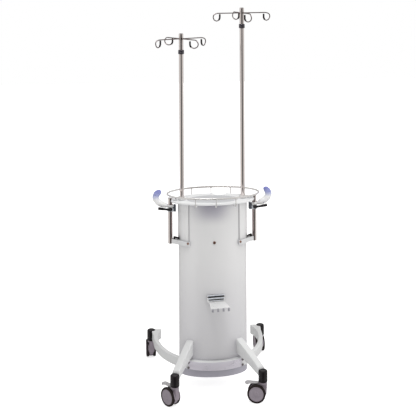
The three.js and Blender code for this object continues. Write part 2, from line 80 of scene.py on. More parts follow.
# ------------------------------------------------------------------ mesh building
class Geo:
    """Collects closed shells in design millimetres; T is the local placement, m the material slot."""

    def __init__(self):
        self.v, self.f, self.m, self.T, self.mat = [], [], [], Matrix.Identity(4), 0

    def at(self, x=0, y=0, z=0, rz=0.0, rx=0.0, ry=0.0):
        self.T = Matrix.Translation((x, y, z)) @ Matrix.Rotation(rz, 4, "Z") @ Matrix.Rotation(ry, 4, "Y") @ Matrix.Rotation(rx, 4, "X")
        return self

    def add(self, verts, faces):
        o = len(self.v)
        flip = self.T.determinant() < 0
        self.v += [self.T @ Vector(p) for p in verts]
        for f in faces:
            f = [i + o for i in f]
            self.f.append(f[::-1] if flip else f)
            self.m.append(self.mat)
        return self

    def loft(self, rings, cap=True, closed=False):
        n, v, f = len(rings[0]), [], []
        for r in rings:
            v += list(r)
        k = len(rings)
        for a in range(k if closed else k - 1):
            b = (a + 1) % k
            for i in range(n):
                j = (i + 1) % n
                f.append([a * n + i, a * n + j, b * n + j, b * n + i])
        if cap and not closed:
            f.append([i for i in range(n)][::-1])
            f.append([(k - 1) * n + i for i in range(n)])
        return self.add(v, f)

    def lathe(self, prof, seg=48, closed=False):
        """Turned about local Z. A profile end at radius 0 closes on the axis; closed joins last to first."""
        v, rows = [], []
        for r, z in prof:
            if r < 1e-6:
                rows.append([len(v)])
                v.append((0, 0, z))
            else:
                rows.append(list(range(len(v), len(v) + seg)))
                v += [(r * math.cos(2 * math.pi * i / seg), r * math.sin(2 * math.pi * i / seg), z) for i in range(seg)]
        f = []
        pairs = list(zip(rows, rows[1:])) + ([(rows[-1], rows[0])] if closed else [])
        for a, b in pairs:
            for i in range(seg):
                j = (i + 1) % seg
                if len(a) == 1 and len(b) == 1:
                    continue
                if len(a) == 1:
                    f.append([a[0], b[j], b[i]])
                elif len(b) == 1:
                    f.append([a[i], a[j], b[0]])
                else:
                    f.append([a[i], a[j], b[j], b[i]])
        return self.add(v, f)

    def prism(self, outline, z0, z1):
        return self.loft([[(x, y, z0) for x, y in outline], [(x, y, z1) for x, y in outline]])

    def box(self, x0, x1, y0, y1, z0, z1):
        return self.prism([(x0, y0), (x1, y0), (x1, y1), (x0, y1)], z0, z1)

    def sweep(self, pts, rad, seg=16, closed=False, shape=None, up=None):
        """A bar along points; rad is one number or one for each point. shape is a unit outline, round by default."""
        P = [Vector(p) for p in pts]
        n = len(P)
        R = rad if isinstance(rad, (list, tuple)) else [rad] * n
        shape = shape or [(math.cos(2 * math.pi * i / seg), math.sin(2 * math.pi * i / seg)) for i in range(seg)]
        rings, u = [], None
        for k in range(n):
            a = P[(k - 1) % n] if closed or k > 0 else P[k]
            b = P[(k + 1) % n] if closed or k < n - 1 else P[k]
            t = (b - a).normalized()
            if up is not None:
                u = Vector(up)
            elif u is None:
                u = Vector((0, 0, 1)) if abs(t.z) < 0.9 else Vector((1, 0, 0))
            e = (u - t * u.dot(t)).normalized()
            w = t.cross(e)
            if up is None:
                u = e
            r = R[k]
            rx, ry = r if isinstance(r, (list, tuple)) else (r, r)
            rings.append([P[k] + e * (rx * c) + w * (ry * s) for c, s in shape])
        return self.loft(rings, cap=not closed, closed=closed)

    def build(self, name, body, mats, rep=(), slot=None, angle=38, bevel=0, segs=3, subsurf=0, limit=32):
        me = bpy.data.meshes.new(name)
        me.from_pydata([(p.x / 1000 + OX, p.y / 1000 + OY, p.z / 1000) for p in self.v], [], self.f)
        for m in mats if isinstance(mats, (list, tuple)) else [mats]:
            me.materials.append(m)
        for p, m in zip(me.polygons, self.m):
            p.material_index = m
        bm = bmesh.new()
        bm.from_mesh(me)
        bmesh.ops.remove_doubles(bm, verts=bm.verts, dist=1e-7)
        bmesh.ops.recalc_face_normals(bm, faces=bm.faces)
        bm.to_mesh(me)
        bm.free()
        me.shade_smooth()
        me.set_sharp_from_angle(angle=math.radians(angle))
        ob = bpy.data.objects.new(name, me)
        bpy.context.scene.collection.objects.link(ob)
        if bevel:
            b = ob.modifiers.new("edge", "BEVEL")
            b.width, b.segments, b.limit_method, b.angle_limit = bevel / 1000, segs, "ANGLE", math.radians(limit)
            b.harden_normals = False
            b.use_clamp_overlap = True
            me.shade_smooth()
            me.set_sharp_from_angle(angle=math.radians(75))
        if subsurf:
            s = ob.modifiers.new("round", "SUBSURF")
            s.levels = s.render_levels = subsurf
            me.shade_smooth()
        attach(ob, body)
        if rep:
            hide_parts(*([rep] if isinstance(rep, str) else rep))
        return ob


def oval(a, b, n=96, t0=0.0, t1=360.0, off=0.0):
    out = []
    full = abs(t1 - t0 - 360) < 1e-9
    for i in range(n if full else n + 1):
        t = math.radians(t0 + (t1 - t0) * i / n)
        x, y = a * math.cos(t), b * math.sin(t)
        nx, ny = math.cos(t) / a, math.sin(t) / b
        q = math.hypot(nx, ny)
        out.append((x + off * nx / q, y + off * ny / q))
    return out


def rounded(w, h, r, n=5):
    """Outline of a rounded rectangle, centred."""
    out = []
    for cx, cy, a0 in ((w / 2 - r, h / 2 - r, 0), (-w / 2 + r, h / 2 - r, 90), (-w / 2 + r, -h / 2 + r, 180), (w / 2 - r, -h / 2 + r, 270)):
        for i in range(n + 1):
            a = math.radians(a0 + 90 * i / n)
            out.append((cx + r * math.cos(a), cy + r * math.sin(a)))
    return out


def smooth(points, per=8):
    """Catmull-Rom points through the given ones."""
    P = [Vector(p) for p in points]
    P = [P[0] * 2 - P[1]] + P + [P[-1] * 2 - P[-2]]
    out = []
    for k in range(1, len(P) - 2):
        a, b, c, d = P[k - 1:k + 3]
        for i in range(per):
            t = i / per
            out.append(0.5 * ((2 * b) + (c - a) * t + (2 * a - 5 * b + 4 * c - d) * t * t + (3 * b - a - 3 * c + d) * t ** 3))
    out.append(P[-2])
    return out


# ------------------------------------------------------------------ materials
def material(name, color, rough, metal=0.0, *, vary=0.03, vscale=9.0, rvary=0.06, grain=900.0, bump=0.04, stretch=(1, 1, 1), coat=0.0,
             coat_rough=0.1, sub=0.0, grime_and_shade=0.0, grime_and_shade_col=None, reach=0.03, spec=0.5, aniso=0.0, trans=0.0, edge=0.0, extra=None):
    m = bpy.data.materials.new(name)
    m.use_nodes = True
    nt = m.node_tree
    N, L = nt.nodes, nt.links
    bs = N["Principled BSDF"]
    tc = N.new("ShaderNodeTexCoord")
    mp = N.new("ShaderNodeMapping")
    mp.inputs["Scale"].default_value = stretch
    L.new(tc.outputs["Object"], mp.inputs["Vector"])
    big = N.new("ShaderNodeTexNoise")
    big.inputs["Scale"].default_value = vscale
    big.inputs["Detail"].default_value = 4
    L.new(tc.outputs["Object"], big.inputs["Vector"])
    cr = N.new("ShaderNodeMix")
    cr.data_type = "RGBA"
    c = Vector(color)
    cr.inputs["A"].default_value = (*[max(0, x * (1 - vary)) for x in c], 1)
    cr.inputs["B"].default_value = (*[min(1, x * (1 + vary)) for x in c], 1)
    L.new(big.outputs["Fac"], cr.inputs["Factor"])
    col = cr.outputs["Result"]
    fine = N.new("ShaderNodeTexNoise")
    fine.inputs["Scale"].default_value = grain
    fine.inputs["Detail"].default_value = 3
    L.new(mp.outputs["Vector"], fine.inputs["Vector"])
    # Ambient-occlusion darkening in crevices and next to neighbouring parts: partly grime, partly painted shade.
    if grime_and_shade:
        ao = N.new("ShaderNodeAmbientOcclusion")
        ao.samples = 4
        ao.inputs["Distance"].default_value = reach
        mr = N.new("ShaderNodeMapRange")
        mr.inputs["From Min"].default_value, mr.inputs["From Max"].default_value = 0.25, 0.95
        mr.inputs["To Min"].default_value, mr.inputs["To Max"].default_value = grime_and_shade, 0.0
        L.new(ao.outputs["AO"], mr.inputs["Value"])
        dm = N.new("ShaderNodeMix")
        dm.data_type = "RGBA"
        L.new(mr.outputs["Result"], dm.inputs["Factor"])
        L.new(col, dm.inputs["A"])
        dm.inputs["B"].default_value = (*(grime_and_shade_col or [x * 0.45 for x in c]), 1)
        col = dm.outputs["Result"]
    if extra:
        col = extra(N, L, tc, col)
    L.new(col, bs.inputs["Base Color"])
    rr = N.new("ShaderNodeMapRange")
    rr.inputs["From Min"].default_value, rr.inputs["From Max"].default_value = 0.3, 0.7
    rr.inputs["To Min"].default_value, rr.inputs["To Max"].default_value = max(0.02, rough - rvary), min(1, rough + rvary)
    mixn = N.new("ShaderNodeMath")
    mixn.operation = "MULTIPLY_ADD"
    L.new(fine.outputs["Fac"], mixn.inputs[0])
    mixn.inputs[1].default_value = 0.5
    half = N.new("ShaderNodeMath")
    half.operation = "MULTIPLY"
    L.new(big.outputs["Fac"], half.inputs[0])
    half.inputs[1].default_value = 0.5
    L.new(half.outputs[0], mixn.inputs[2])
    L.new(mixn.outputs[0], rr.inputs["Value"])
    L.new(rr.outputs["Result"], bs.inputs["Roughness"])
    bp = N.new("ShaderNodeBump")
    bp.inputs["Strength"].default_value = bump
    bp.inputs["Distance"].default_value = 0.0006
    L.new(fine.outputs["Fac"], bp.inputs["Height"])
    L.new(bp.outputs["Normal"], bs.inputs["Normal"])
    bs.inputs["Metallic"].default_value = metal
    bs.inputs["Specular IOR Level"].default_value = spec
    bs.inputs["Coat Weight"].default_value = coat
    bs.inputs["Coat Roughness"].default_value = coat_rough
    if sub:
        bs.inputs["Subsurface Weight"].default_value = sub
        bs.inputs["Subsurface Radius"].default_value = (0.02, 0.02, 0.022)
        bs.inputs["Subsurface Scale"].default_value = 0.4
    if trans:
        bs.inputs["Transmission Weight"].default_value = trans
    m.diffuse_color = (*color, 1)
    return m


def lin(r, g, b):
    return tuple(((x / 255) / 12.92 if x / 255 <= 0.04045 else ((x / 255 + 0.055) / 1.055) ** 2.4) for x in (r, g, b))


M = {}
M["white"] = material("white_powder_coat", lin(230, 231, 232), 0.42, 0.0, vary=0.015, grain=1300, bump=0.07, grime_and_shade=0.35, grime_and_shade_col=lin(150, 150, 156))
M["plate"] = material("side_plate_coat", lin(246, 246, 246), 0.42, 0.05, vary=0.015, grain=1300, bump=0.06, grime_and_shade=0.3, grime_and_shade_col=lin(140, 140, 148))
M["pad"] = material("tray_pad", lin(208, 209, 212), 0.4, 0.1, vary=0.03, grain=1000, bump=0.06, grime_and_shade=0.3)
M["tray"] = material("tray_coat", lin(246, 247, 248), 0.34, 0.0, vary=0.02, grain=1000, bump=0.05, grime_and_shade=0.3, grime_and_shade_col=lin(160, 160, 166), coat=0.15)
M["boss"] = material("boss_plastic", lin(228, 228, 228), 0.38, 0.0, grain=1500, bump=0.05, grime_and_shade=0.3)
M["steel"] = material("stainless_tube", lin(238, 229, 225), 0.13, 1.0, vary=0.03, vscale=14, rvary=0.03, grain=700, stretch=(1, 1, 0.02), bump=0.02)
M["wire"] = material("hook_wire", lin(128, 117, 116), 0.2, 1.0, vary=0.06, vscale=30, grain=800, bump=0.04)
M["collar"] = material("collar_smoked", lin(62, 58, 66), 0.12, 0.55, vary=0.15, vscale=40, grain=700, bump=0.03, coat=0.6, coat_rough=0.05)
M["black"] = material("black_plastic", lin(20, 15, 18), 0.36, 0.0, spec=0.35, vary=0.12, vscale=40, grain=1600, bump=0.12)
M["socket"] = material("socket_black", lin(22, 15, 20), 0.42, 0.0, spec=0.3, vary=0.18, vscale=45, grain=1400, bump=0.12, coat=0.1)
M["clamp"] = material("clamp_grey", lin(98, 103, 112), 0.45, 0.05, vary=0.08, vscale=60, grain=1200, bump=0.1, grime_and_shade=0.3)
M["sleeve"] = material("clamp_sleeve_pale", lin(214, 219, 226), 0.4, 0.0, vary=0.03, grain=1200, bump=0.06, grime_and_shade=0.3)
M["bolt"] = material("bolt_zinc", lin(150, 144, 146), 0.3, 0.9, vary=0.15, vscale=120, grain=1200, bump=0.08, grime_and_shade=0.5)
M["copper"] = material("rivet_bronze", lin(168, 134, 118), 0.32, 0.8, vary=0.12, vscale=120, grain=1200, bump=0.08, grime_and_shade=0.5)
M["bracket"] = material("bracket_steel", lin(238, 238, 238), 0.3, 0.08, vary=0.03, vscale=30, grain=900, bump=0.06, stretch=(0.08, 1, 1), grime_and_shade=0.3)
M["finger"] = material("finger_steel", lin(178, 177, 184), 0.34, 0.2, vary=0.05, vscale=30, grain=900, bump=0.06, grime_and_shade=0.3)
# Grey for the beads along the side plates' edges: a painted shadow line.
M["seam"] = material("seam_grey", lin(146, 145, 149), 0.6, 0.1, vary=0.08, grain=900, bump=0.05)
M["dark"] = material("shadow_gap", lin(34, 32, 38), 0.6, 0.1, vary=0.1, grain=900, bump=0.05)
M["hood"] = material("hood_mauve", lin(150, 140, 150), 0.5, 0.0, vary=0.07, vscale=40, grain=1300, bump=0.12, grime_and_shade=0.5, grime_and_shade_col=lin(60, 50, 56))
M["pedal"] = material("pedal_grey", lin(188, 186, 188), 0.5, 0.0, vary=0.04, vscale=50, grain=1300, bump=0.1, grime_and_shade=0.35)
M["tyre"] = material("tyre_rubber", lin(38, 28, 28), 0.66, 0.0, spec=0.3, vary=0.14, vscale=60, grain=1500, bump=0.2, grime_and_shade=0.3)
M["face"] = material("bow_front_metal", lin(226, 222, 231), 0.3, 0.25, vary=0.05, vscale=9, grain=800, stretch=(0.06, 0.06, 1), bump=0.04, grime_and_shade=0.3)
M["base"] = material("bow_coat", lin(229, 230, 230), 0.34, 0.0, vary=0.015, grain=1300, bump=0.05, grime_and_shade=0.35, grime_and_shade_col=lin(150, 150, 156), coat=0.2)
M["inner"] = material("inner_zinc", lin(150, 150, 155), 0.5, 0.6, vary=0.1, vscale=20, grain=700, bump=0.1)
M["iron"] = material("ballast_iron", lin(70, 70, 74), 0.75, 0.4, vary=0.2, vscale=30, grain=500, bump=0.3)


# Painted shade on the column skin: a lilac darkening towards the bottom, a painted shadow of the tray on the top of the
# front, and painted shade on the foot below the base bow.
def panel_painted_shade(N, L, tc, col):
    sep = N.new("ShaderNodeSeparateXYZ")
    L.new(tc.outputs["Object"], sep.inputs[0])
    mr = N.new("ShaderNodeMapRange")
    mr.interpolation_type = "SMOOTHSTEP"
    mr.inputs["From Min"].default_value, mr.inputs["From Max"].default_value = 0.30, 0.82
    mr.inputs["To Min"].default_value, mr.inputs["To Max"].default_value = 1.0, 0.0
    L.new(sep.outputs["Z"], mr.inputs["Value"])
    mx = N.new("ShaderNodeMix")
    mx.data_type = "RGBA"
    mx.blend_type = "MULTIPLY"
    L.new(mr.outputs["Result"], mx.inputs["Factor"])
    L.new(col, mx.inputs["A"])
    mx.inputs["B"].default_value = (0.85, 0.845, 0.865, 1)
    # the tray keeps the light off the top of the front, more so left of the middle
    def soft(sock, a, b):
        n = N.new("ShaderNodeMapRange")
        n.interpolation_type = "SMOOTHSTEP"
        n.inputs["From Min"].default_value, n.inputs["From Max"].default_value = a, b
        L.new(sock, n.inputs["Value"])
        return n.outputs["Result"]

    def times(a, b):
        n = N.new("ShaderNodeMath")
        n.operation = "MULTIPLY"
        L.new(a, n.inputs[0])
        L.new(b, n.inputs[1])
        return n.outputs[0]
    shade = times(times(soft(sep.outputs["Z"], 0.895, 1.0), soft(sep.outputs["Y"], -0.05, -0.16)), times(soft(sep.outputs["X"], -0.15, -0.03), soft(sep.outputs["X"], 0.12, 0.0)))
    m2 = N.new("ShaderNodeMix")
    m2.data_type = "RGBA"
    m2.blend_type = "MULTIPLY"
    L.new(shade, m2.inputs["Factor"])
    L.new(mx.outputs["Result"], m2.inputs["A"])
    m2.inputs["B"].default_value = (0.60, 0.585, 0.66, 1)
    # the foot below the base bow sits in the bow's shade
    m3 = N.new("ShaderNodeMix")
    m3.data_type = "RGBA"
    m3.blend_type = "MULTIPLY"
    L.new(soft(sep.outputs["Z"], 0.124, 0.112), m3.inputs["Factor"])
    L.new(m2.outputs["Result"], m3.inputs["A"])
    m3.inputs["B"].default_value = (0.70, 0.69, 0.76, 1)
    return m3.outputs["Result"]


def band(sock_a, sock_b, tint):
    """A tint that grows between two values of one object coordinate."""
    def extra(N, L, tc, col):
        sep = N.new("ShaderNodeSeparateXYZ")
        L.new(tc.outputs["Object"], sep.inputs[0])
        n = N.new("ShaderNodeMapRange")
        n.interpolation_type = "SMOOTHSTEP"
        n.inputs["From Min"].default_value, n.inputs["From Max"].default_value = sock_a, sock_b
        L.new(sep.outputs["Y"], n.inputs["Value"])
        mx = N.new("ShaderNodeMix")
        mx.data_type = "RGBA"
        mx.blend_type = "MULTIPLY"
        L.new(n.outputs["Result"], mx.inputs["Factor"])
        L.new(col, mx.inputs["A"])
        mx.inputs["B"].default_value = (*tint, 1)
        return mx.outputs["Result"]
    return extra


def rod_painted_reflection(N, L, tc, col):
    """Painted reflection: the dark room line that a bright round rod shows along its middle."""
    sep = N.new("ShaderNodeSeparateXYZ")
    L.new(tc.outputs["Object"], sep.inputs[0])
    sock = sep.outputs["X"]
    for op, k in (("ABSOLUTE", None), ("SUBTRACT", 0.1715), ("ABSOLUTE", None)):
        n = N.new("ShaderNodeMath")
        n.operation = op
        L.new(sock, n.inputs[0])
        if k is not None:
            n.inputs[1].default_value = k
        sock = n.outputs[0]
    n = N.new("ShaderNodeMapRange")
    n.interpolation_type = "SMOOTHSTEP"
    n.inputs["From Min"].default_value, n.inputs["From Max"].default_value = 0.0052, 0.0026
    L.new(sock, n.inputs["Value"])
    mx = N.new("ShaderNodeMix")
    mx.data_type = "RGBA"
    mx.blend_type = "MULTIPLY"
    L.new(n.outputs["Result"], mx.inputs["Factor"])
    L.new(col, mx.inputs["A"])
    mx.inputs["B"].default_value = (0.16, 0.15, 0.16, 1)
    return mx.outputs["Result"]


# Painted shade: the rail wire is darkened towards its rear, from y 0 to 0.07 m.
M["ring"] = material("rail_wire", lin(232, 230, 228), 0.2, 0.6, vary=0.05, vscale=25, grain=900, bump=0.03, extra=band(0.0, 0.07, (0.60, 0.575, 0.565)))
M["post"] = material("head_post", lin(238, 229, 225), 0.13, 1.0, vary=0.03, vscale=14, rvary=0.03, grain=700, stretch=(1, 1, 0.02), bump=0.02, extra=rod_painted_reflection)
M["rod"] = material("ground_rod", lin(215, 212, 210), 0.14, 1.0, vary=0.03, grain=1200, stretch=(0.03, 0.03, 1), bump=0.03, extra=rod_painted_reflection)


def side_rail_painted_light(N, L, tc, col):
    """Painted shade: outer half bright, inner half (towards the column) painted a warm grey."""
    sep = N.new("ShaderNodeSeparateXYZ")
    L.new(tc.outputs["Object"], sep.inputs[0])
    ab = N.new("ShaderNodeMath")
    ab.operation = "ABSOLUTE"
    L.new(sep.outputs["X"], ab.inputs[0])
    mr = N.new("ShaderNodeMapRange")
    mr.interpolation_type = "SMOOTHSTEP"
    mr.inputs["From Min"].default_value, mr.inputs["From Max"].default_value = 0.2335, 0.2395
    mr.inputs["To Min"].default_value, mr.inputs["To Max"].default_value = 1.0, 0.0
    L.new(ab.outputs[0], mr.inputs["Value"])
    mx = N.new("ShaderNodeMix")
    mx.data_type = "RGBA"
    L.new(mr.outputs["Result"], mx.inputs["Factor"])
    L.new(col, mx.inputs["A"])
    mx.inputs["B"].default_value = (*lin(168, 152, 150), 1)
    return mx.outputs["Result"]


# Column skin: its lilac occlusion darkening, reaching 80 mm, is painted shade under the tray and beside attached parts.
M["panel"] = material("panel_satin", lin(240, 240, 240), 0.36, 0.12, vary=0.02, vscale=5, grain=1100, bump=0.05, grime_and_shade=0.42, grime_and_shade_col=lin(110, 106, 124), reach=0.08, coat=0.12, coat_rough=0.3, extra=panel_painted_shade)
M["side_tube"] = material("side_rail_tube", lin(236, 227, 223), 0.13, 1.0, vary=0.03, vscale=14, rvary=0.03, grain=700, stretch=(1, 1, 0.02), bump=0.02, extra=side_rail_painted_light)


def disc_pattern(N, L, tc, col):
    v = N.new("ShaderNodeTexVoronoi")
    v.inputs["Scale"].default_value = 420
    L.new(tc.outputs["Object"], v.inputs["Vector"])
    mr = N.new("ShaderNodeMapRange")
    mr.inputs["From Max"].default_value = 0.6
    mr.inputs["To Min"].default_value, mr.inputs["To Max"].default_value = 0.0, 0.22
    L.new(v.outputs["Distance"], mr.inputs["Value"])
    mx = N.new("ShaderNodeMix")
    mx.data_type = "RGBA"
    L.new(mr.outputs["Result"], mx.inputs["Factor"])
    L.new(col, mx.inputs["A"])
    mx.inputs["B"].default_value = (*lin(196, 188, 196), 1)
    return mx.outputs["Result"]


M["disc"] = material("wheel_disc", lin(140, 130, 140), 0.48, 0.0, vary=0.06, vscale=60, grain=1200, bump=0.14, extra=disc_pattern)


def horn_fade(N, L, tc, col):
    sep = N.new("ShaderNodeSeparateXYZ")
    L.new(tc.outputs["Object"], sep.inputs[0])
    mr = N.new("ShaderNodeMapRange")
    mr.interpolation_type = "SMOOTHSTEP"
    mr.inputs["From Min"].default_value, mr.inputs["From Max"].default_value = 1.030, 1.062
    L.new(sep.outputs["Z"], mr.inputs["Value"])
    mx = N.new("ShaderNodeMix")
    mx.data_type = "RGBA"
    L.new(mr.outputs["Result"], mx.inputs["Factor"])
    L.new(col, mx.inputs["A"])
    mx.inputs["B"].default_value = (*lin(186, 192, 230), 1)
    return mx.outputs["Result"]


def grip_fade(N, L, tc, col):
    sep = N.new("ShaderNodeSeparateXYZ")
    L.new(tc.outputs["Object"], sep.inputs[0])
    mr = N.new("ShaderNodeMapRange")
    mr.inputs["From Min"].default_value, mr.inputs["From Max"].default_value = 1.060, 1.088
    L.new(sep.outputs["Z"], mr.inputs["Value"])
    ns = N.new("ShaderNodeTexNoise")
    ns.inputs["Scale"].default_value = 160
    L.new(tc.outputs["Object"], ns.inputs["Vector"])
    ad = N.new("ShaderNodeMath")
    ad.operation = "MULTIPLY_ADD"
    L.new(ns.outputs["Fac"], ad.inputs[0])
    ad.inputs[1].default_value = 0.16
    L.new(mr.outputs["Result"], ad.inputs[2])
    mx = N.new("ShaderNodeMix")
    mx.data_type = "RGBA"
    L.new(ad.outputs[0], mx.inputs["Factor"])
    mx.inputs["A"].default_value = (*lin(176, 183, 226), 1)
    mx.inputs["B"].default_value = (*lin(118, 124, 190), 1)
    return mx.outputs["Result"]


M["handle"] = material("handle_frosted", lin(250, 250, 250), 0.36, 0.0, vary=0.015, grain=1200, bump=0.06, sub=0.35, grime_and_shade=0.15, grime_and_shade_col=lin(190, 195, 200), extra=horn_fade)
M["grip"] = material("grip_violet", lin(130, 136, 196), 0.45, 0.0, vary=0.04, grain=1400, bump=0.1, sub=0.15, extra=grip_fade)


def socket_head(g, r, h, seg=28, hexr=None):
    """A cap screw head on local Z, with its hex recess."""
    hexr = hexr or r * 0.5
    n = 6
    g.lathe([(r * 0.98, 0), (r, h * 0.1), (r, h * 0.72), (r * 0.93, h * 0.93), (r * 0.8, h), (hexr * 1.02, h), (hexr * 0.96, h * 0.96), (hexr * 0.94, h * 0.45), (0, h * 0.42)], seg)
    return g


# ------------------------------------------------------------------ column
Z0, Z1 = 73.0, 1021.6
TP = math.degrees(math.acos(140.0 / A))


def wall(t0, t1, n, a_out, a_in, z0, z1, rows):
    """A curved sheet between two offsets of the column's oval."""
    g = Geo()
    o, i = oval(A, B, n, t0, t1, a_out), oval(A, B, n, t0, t1, a_in)[::-1]
    rings = [[(x, y, z) for x, y in o + i] for z in rows]
    return g.loft(rings)


def hem(t0, t1, n):
    """Sheet with a small turned-in hem at the foot and the top."""
    g = Geo()
    prof = [(-2, Z0 + 6), (-2, Z0 + 1.2), (-1.2, Z0), (-0.3, Z0 + 0.2), (0, Z0 + 1.0), (0, Z0 + 5)]
    prof += [(0, z) for z in (200, 400, 600, 800, 1000)] + [(0, Z1 - 1), (-0.4, Z1 - 0.2), (-1.4, Z1), (-2, Z1 - 0.8), (-2, 800), (-2, 400)]
    rings = []
    for k in range(n + 1):
        t = t0 + (t1 - t0) * k / n
        ring = []
        for off, z in prof:
            (x, y), = oval(A, B, 1, t, t + 359, off)[:1]
            ring.append((x, y, z))
        rings.append(ring)
    return g.loft(rings)


hem(180.1, 359.9, 96).build("column_front_skin", "root", M["panel"], "body_front_shell", "panel", angle=50)
hem(0.1, 179.9, 96).build("column_rear_skin", "root", M["panel"], "body_rear_shell", "panel", angle=50)

# Side plates: a rounded-corner overlay, with a dark bead along its front edge as a painted shadow line.
for side, s in SIDES:
    g = Geo()
    n, rings = 40, []
    z0, z1, r = 795.0, 1021.4, 9.0
    span = [(-TP, TP), (180 - TP, 180 + TP)][s < 0]
    for k in range(n + 1):
        q = k / n
        t = span[0] + (span[1] - span[0]) * q
        # corner rounding at the lower corners, by arc length from the edge
        edge = min(q, 1 - q) * 2 * 92.0
        cut = r - math.sqrt(max(0, r * r - (r - edge) ** 2)) if edge < r else 0
        (xi, yi), = oval(A, B, 1, t, t + 359, 0.7)[:1]
        (xo, yo), = oval(A, B, 1, t, t + 359, 3.6)[:1]
        (xb, yb), = oval(A, B, 1, t, t + 359, 2.9)[:1]
        lo = z0 + cut
        rings.append([(xi, yi, lo + 0.4), (xb, yb, lo), (xo, yo, lo + 0.9), (xo, yo, z1 - 0.9), (xb, yb, z1), (xi, yi, z1)])
    g.loft(rings)
    g.build(f"side_plate_skin_{side}", "root", M["plate"], f"side_plate_{side}", "white_metal", angle=60)
    # painted shadow: a dark bead standing in front of the plate's front and rear edges, in place of the shadow line
    # along the plate's step
    g = Geo()
    for t in ((360 - TP, TP) if s > 0 else (180 + TP, 180 - TP)):
        d = -1.1 if (t > 180) == (s > 0) else 1.1
        base = t + (d if t > 180 else (-d if s < 0 else 1.1))
        base = (360 - TP - 0.75 if t > 180 else TP + 0.75) if s > 0 else (180 + TP + 0.75 if t > 180 else 180 - TP - 0.75)
        ring = []
        (x, y), = oval(A, B, 1, base, base + 359, 0.75)[:1]
        (x2, y2), = oval(A, B, 1, base + 0.4, base + 359, 0.75)[:1]
        g.sweep([(x, y, 803), (x, y, 820), (x, y, 1000), (x, y, 1020.5)], [0.9, 1.1, 1.1, 1.1], 10)
    g.build(f"plate_edge_shadow_bead_{side}", "root", M["seam"], slot="white_metal")

# Fixings on the column's front
def face_on(x, off=0.0):
    """Point and outward angle on the column's front face at a given x."""
    y = -B * math.sqrt(1 - (x / A) ** 2)
    nx, ny = x / A ** 2, y / B ** 2
    q = math.hypot(nx, ny)
    return (x + nx / q * off, y + ny / q * off, math.atan2(ny, nx))


g = Geo().at(-2, -B - 0.2, 812, rx=math.pi / 2)
g.lathe([(8.0, 0), (8.2, 0.5), (8.0, 1.4), (7.2, 2.0), (7.0, 1.6), (6.8, 0.6), (0, 0.6)], 40)
g.build("lock_bezel", "root", M["copper"], slot="lock")
g = Geo().at(-2, -B - 0.9, 812, rx=math.pi / 2)
g.lathe([(0, 0), (6.6, 0), (6.6, 2.1), (6.0, 2.8), (1.5, 3.0), (0, 3.0)], 40)
# The keyway is a thin dark sheet on the cylinder's face: painted shadow.
g.mat = 1
g.box(-0.7, 0.7, -3.6, 3.6, 2.95, 3.12)
g.build("lock_cylinder", "lock", [M["copper"], M["dark"]], "body_lock", "lock")

# Hidden pieces
g = Geo().prism(oval(A, B, 96, off=-3.2), 88, 96)
g.build("base_plate_floor", "root", M["inner"], "base_plate", "plate_steel", bevel=0.8)
g = Geo().prism(oval(130, 80, 72), 96.4, 170)
for x in (-80, 80):
    g.at(x, 0, 170)
    socket_head(g, 9, 6)
g.build("ballast_casting", "root", M["iron"], "ballast_weight", "ballast", bevel=3)

# ------------------------------------------------------------------ tray
def tray_outline(a, b, inset=0.0, n=40):
    """The oval plate's outline with its round cable notch at the rear and a recess at each end for the side rails."""
    def edge(t):
        x, y = a * math.cos(t), b * math.sin(t)
        q = math.hypot(x / a ** 2, y / b ** 2)
        return (x - inset * x / a ** 2 / q, y - inset * y / b ** 2 / q)
    r = 13.7 + inset
    ta = math.asin((r + 0.6) / b)
    t1, t2 = math.acos((96.5 + inset) / (a - inset)), math.acos((11.5 - inset) / (a - inset))
    out = [edge(ta + (t1 - ta) * i / n) for i in range(n + 1)]
    k = 0.55 + inset * 0.02
    for i in range(1, 6):
        q = i / 6
        p, c, e = out[n], (90.5 + inset, out[n][1] - 0.5), (89 + inset, 120)
        out.append(tuple((1 - q) ** 2 * p[j] + 2 * q * (1 - q) * c[j] + q * q * e[j] for j in (0, 1)))
    out += [(54 + (35 + inset) * math.cos(math.radians(v)), 120 - (25 + inset) * math.sin(math.radians(v))) for v in range(0, 181, 9)]
    e2 = edge(t2)
    for i in range(1, 6):
        q = i / 6
        p, c = (19 - inset, 120), (17.5 - inset, e2[1] - 0.5)
        out.append(tuple((1 - q) ** 2 * p[j] + 2 * q * (1 - q) * c[j] + q * q * e2[j] for j in (0, 1)))
    out += [edge(t2 + (math.pi - ta - t2) * i / n) for i in range(n + 1)]
    out += [(-RAIL_X + r * math.cos(math.radians(v)), r * math.sin(math.radians(v))) for v in range(80, -81, -16)]
    out += [edge(math.pi + ta + (math.pi - 2 * ta) * i / (2 * n)) for i in range(2 * n + 1)]
    out += [(RAIL_X - r * math.cos(math.radians(v)), r * math.sin(math.radians(v))) for v in range(-80, 81, 16)]
    return out


